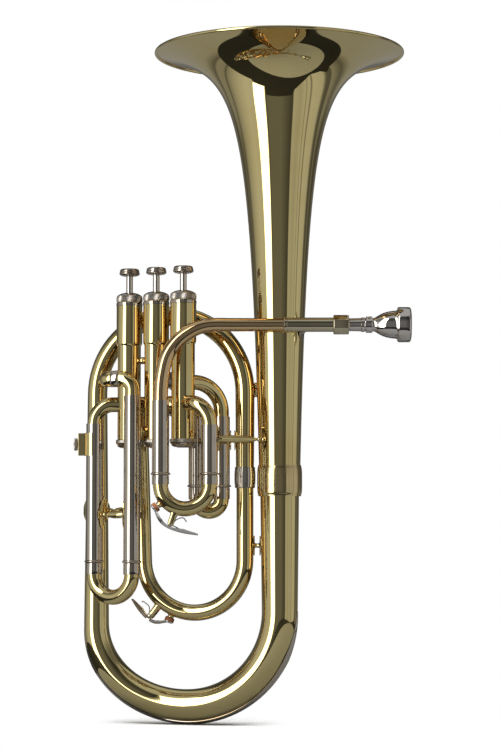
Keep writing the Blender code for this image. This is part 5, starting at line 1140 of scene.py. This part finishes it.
world = bpy.data.worlds.new("studio")
world.use_nodes = True
bpy.context.scene.world = world
air = world.node_tree
air.nodes.clear()
parts = wired(air, "SeparateXYZ", ("Vector", wired(air, "TexCoord", output="Generated"))).node.outputs
bearing = reckoned(air, "ARCTAN2", parts["X"], reckoned(air, "MULTIPLY", parts["Y"], -1.0))
rise = reckoned(air, "ARCSINE", parts["Z"])
to_left = ranged(air, bearing, -0.5, 0.0, -0.12, 0.0)
leaned = reckoned(air, "MULTIPLY_ADD", rise, to_left, bearing)


def levels(share, full_turn, stops):
    """Grey levels by angle; full_turn is how many degrees the share runs over, half of them below nothing."""
    shades = wired(air, "ValToRGB", ("Fac", share))
    marks = shades.node.color_ramp.elements
    marks.remove(marks[-1])
    marks[0].position = 0
    marks[0].color = (*[stops[0][1]] * 3, 1)
    for turn, level in stops[1:]:
        mark = marks.new(turn / full_turn + 0.5)
        mark.color = (level, level, level, 1)
    return shades


STRIP = 1.0
IN_STRIP = (0.7, 0.9)
STRIP_GAIN = 3.2
CEILING = 0.42
walls = levels(ranged(air, leaned, -math.pi, math.pi), 360, [
    (-180, 0.28), (-150, 0.26), (-138, 0.10), (-134, 0.24), (-122, 0.22), (-119, 0.08), (-116, 0.22),
    (-104, 0.34), (-90, 0.43), (-76, 0.50), (-59, 0.48), (-58, STRIP), (-31.5, STRIP), (-30.5, 0.05),
    (-26, 0.14), (4, 0.14), (29, 0.06), (32, 0.05), (34, 0.42), (50, 0.36), (62, 0.44), (64, 0.20),
    (66, 0.44), (72, 0.44), (75, 0.12), (78, 0.46), (101, 0.42), (108, 0.10), (117, 0.09), (120, 0.24),
    (136, 0.10), (148, 0.26)])
heights = levels(ranged(air, rise, -math.pi / 2, math.pi / 2), 180, [
    (-90, 1.0), (18, 1.0), (27, 0.60), (36, 0.38), (48, 0.38)])
held_up = reckoned(air, "MAXIMUM", heights, ranged(air, walls, *IN_STRIP))
behind = reckoned(air, "MULTIPLY", ranged(air, parts["Y"], 0.35, 0.60), ranged(air, parts["Z"], -0.10, 0.02))
kept = ranged(air, behind, 0.0, 1.0, 1.0, 0.5)
wall_light = reckoned(air, "MULTIPLY", reckoned(air, "MULTIPLY", walls, held_up), kept)
overhead = ranged(air, rise, math.radians(46), math.radians(56), kind="SMOOTHSTEP")
all_round = wired(air, "Mix", ("Factor", overhead), ("A", wall_light), ("B", CEILING))
brightness = reckoned(air, "MULTIPLY", all_round, ranged(air, all_round, *IN_STRIP, 1.0, STRIP_GAIN))
room_light = wired(air, "Background", ("Color", (1.0, 0.985, 0.96, 1)), ("Strength", brightness))
white = wired(air, "Background", ("Color", (1, 1, 1, 1)), ("Strength", 1.0))
either = wired(air, "MixShader", (0, wired(air, "LightPath", output="Is Camera Ray")), (1, room_light),
               (2, white))
air.links.new(either, air.nodes.new("ShaderNodeOutputWorld").inputs["Surface"])

light = bpy.data.lights.new("ceiling_light", "AREA")
light.shape = "RECTANGLE"
light.size = 1.3
light.size_y = 1.7
light.energy = 70.0
lamp = placed("ceiling_light", light)
lamp.location = (-0.05, -0.40, 1.85)
lamp.rotation_euler = (Vector((0, 0, 0)) - lamp.location).to_track_quat("-Z", "Y").to_euler()
lamp.visible_glossy = False

camera_data = bpy.data.cameras.new("camera")
camera_data.sensor_width = 36.0
camera_data.lens = 109.44
camera_data.clip_start = 0.1
camera_data.clip_end = 20
camera = placed("camera", camera_data)
camera.location = (0.0075, -1.8534, 0.15764)
camera.rotation_euler = (math.radians(93.9), 0, 0)
bpy.context.scene.camera = camera
bpy.context.scene.view_settings.view_transform = "Standard"
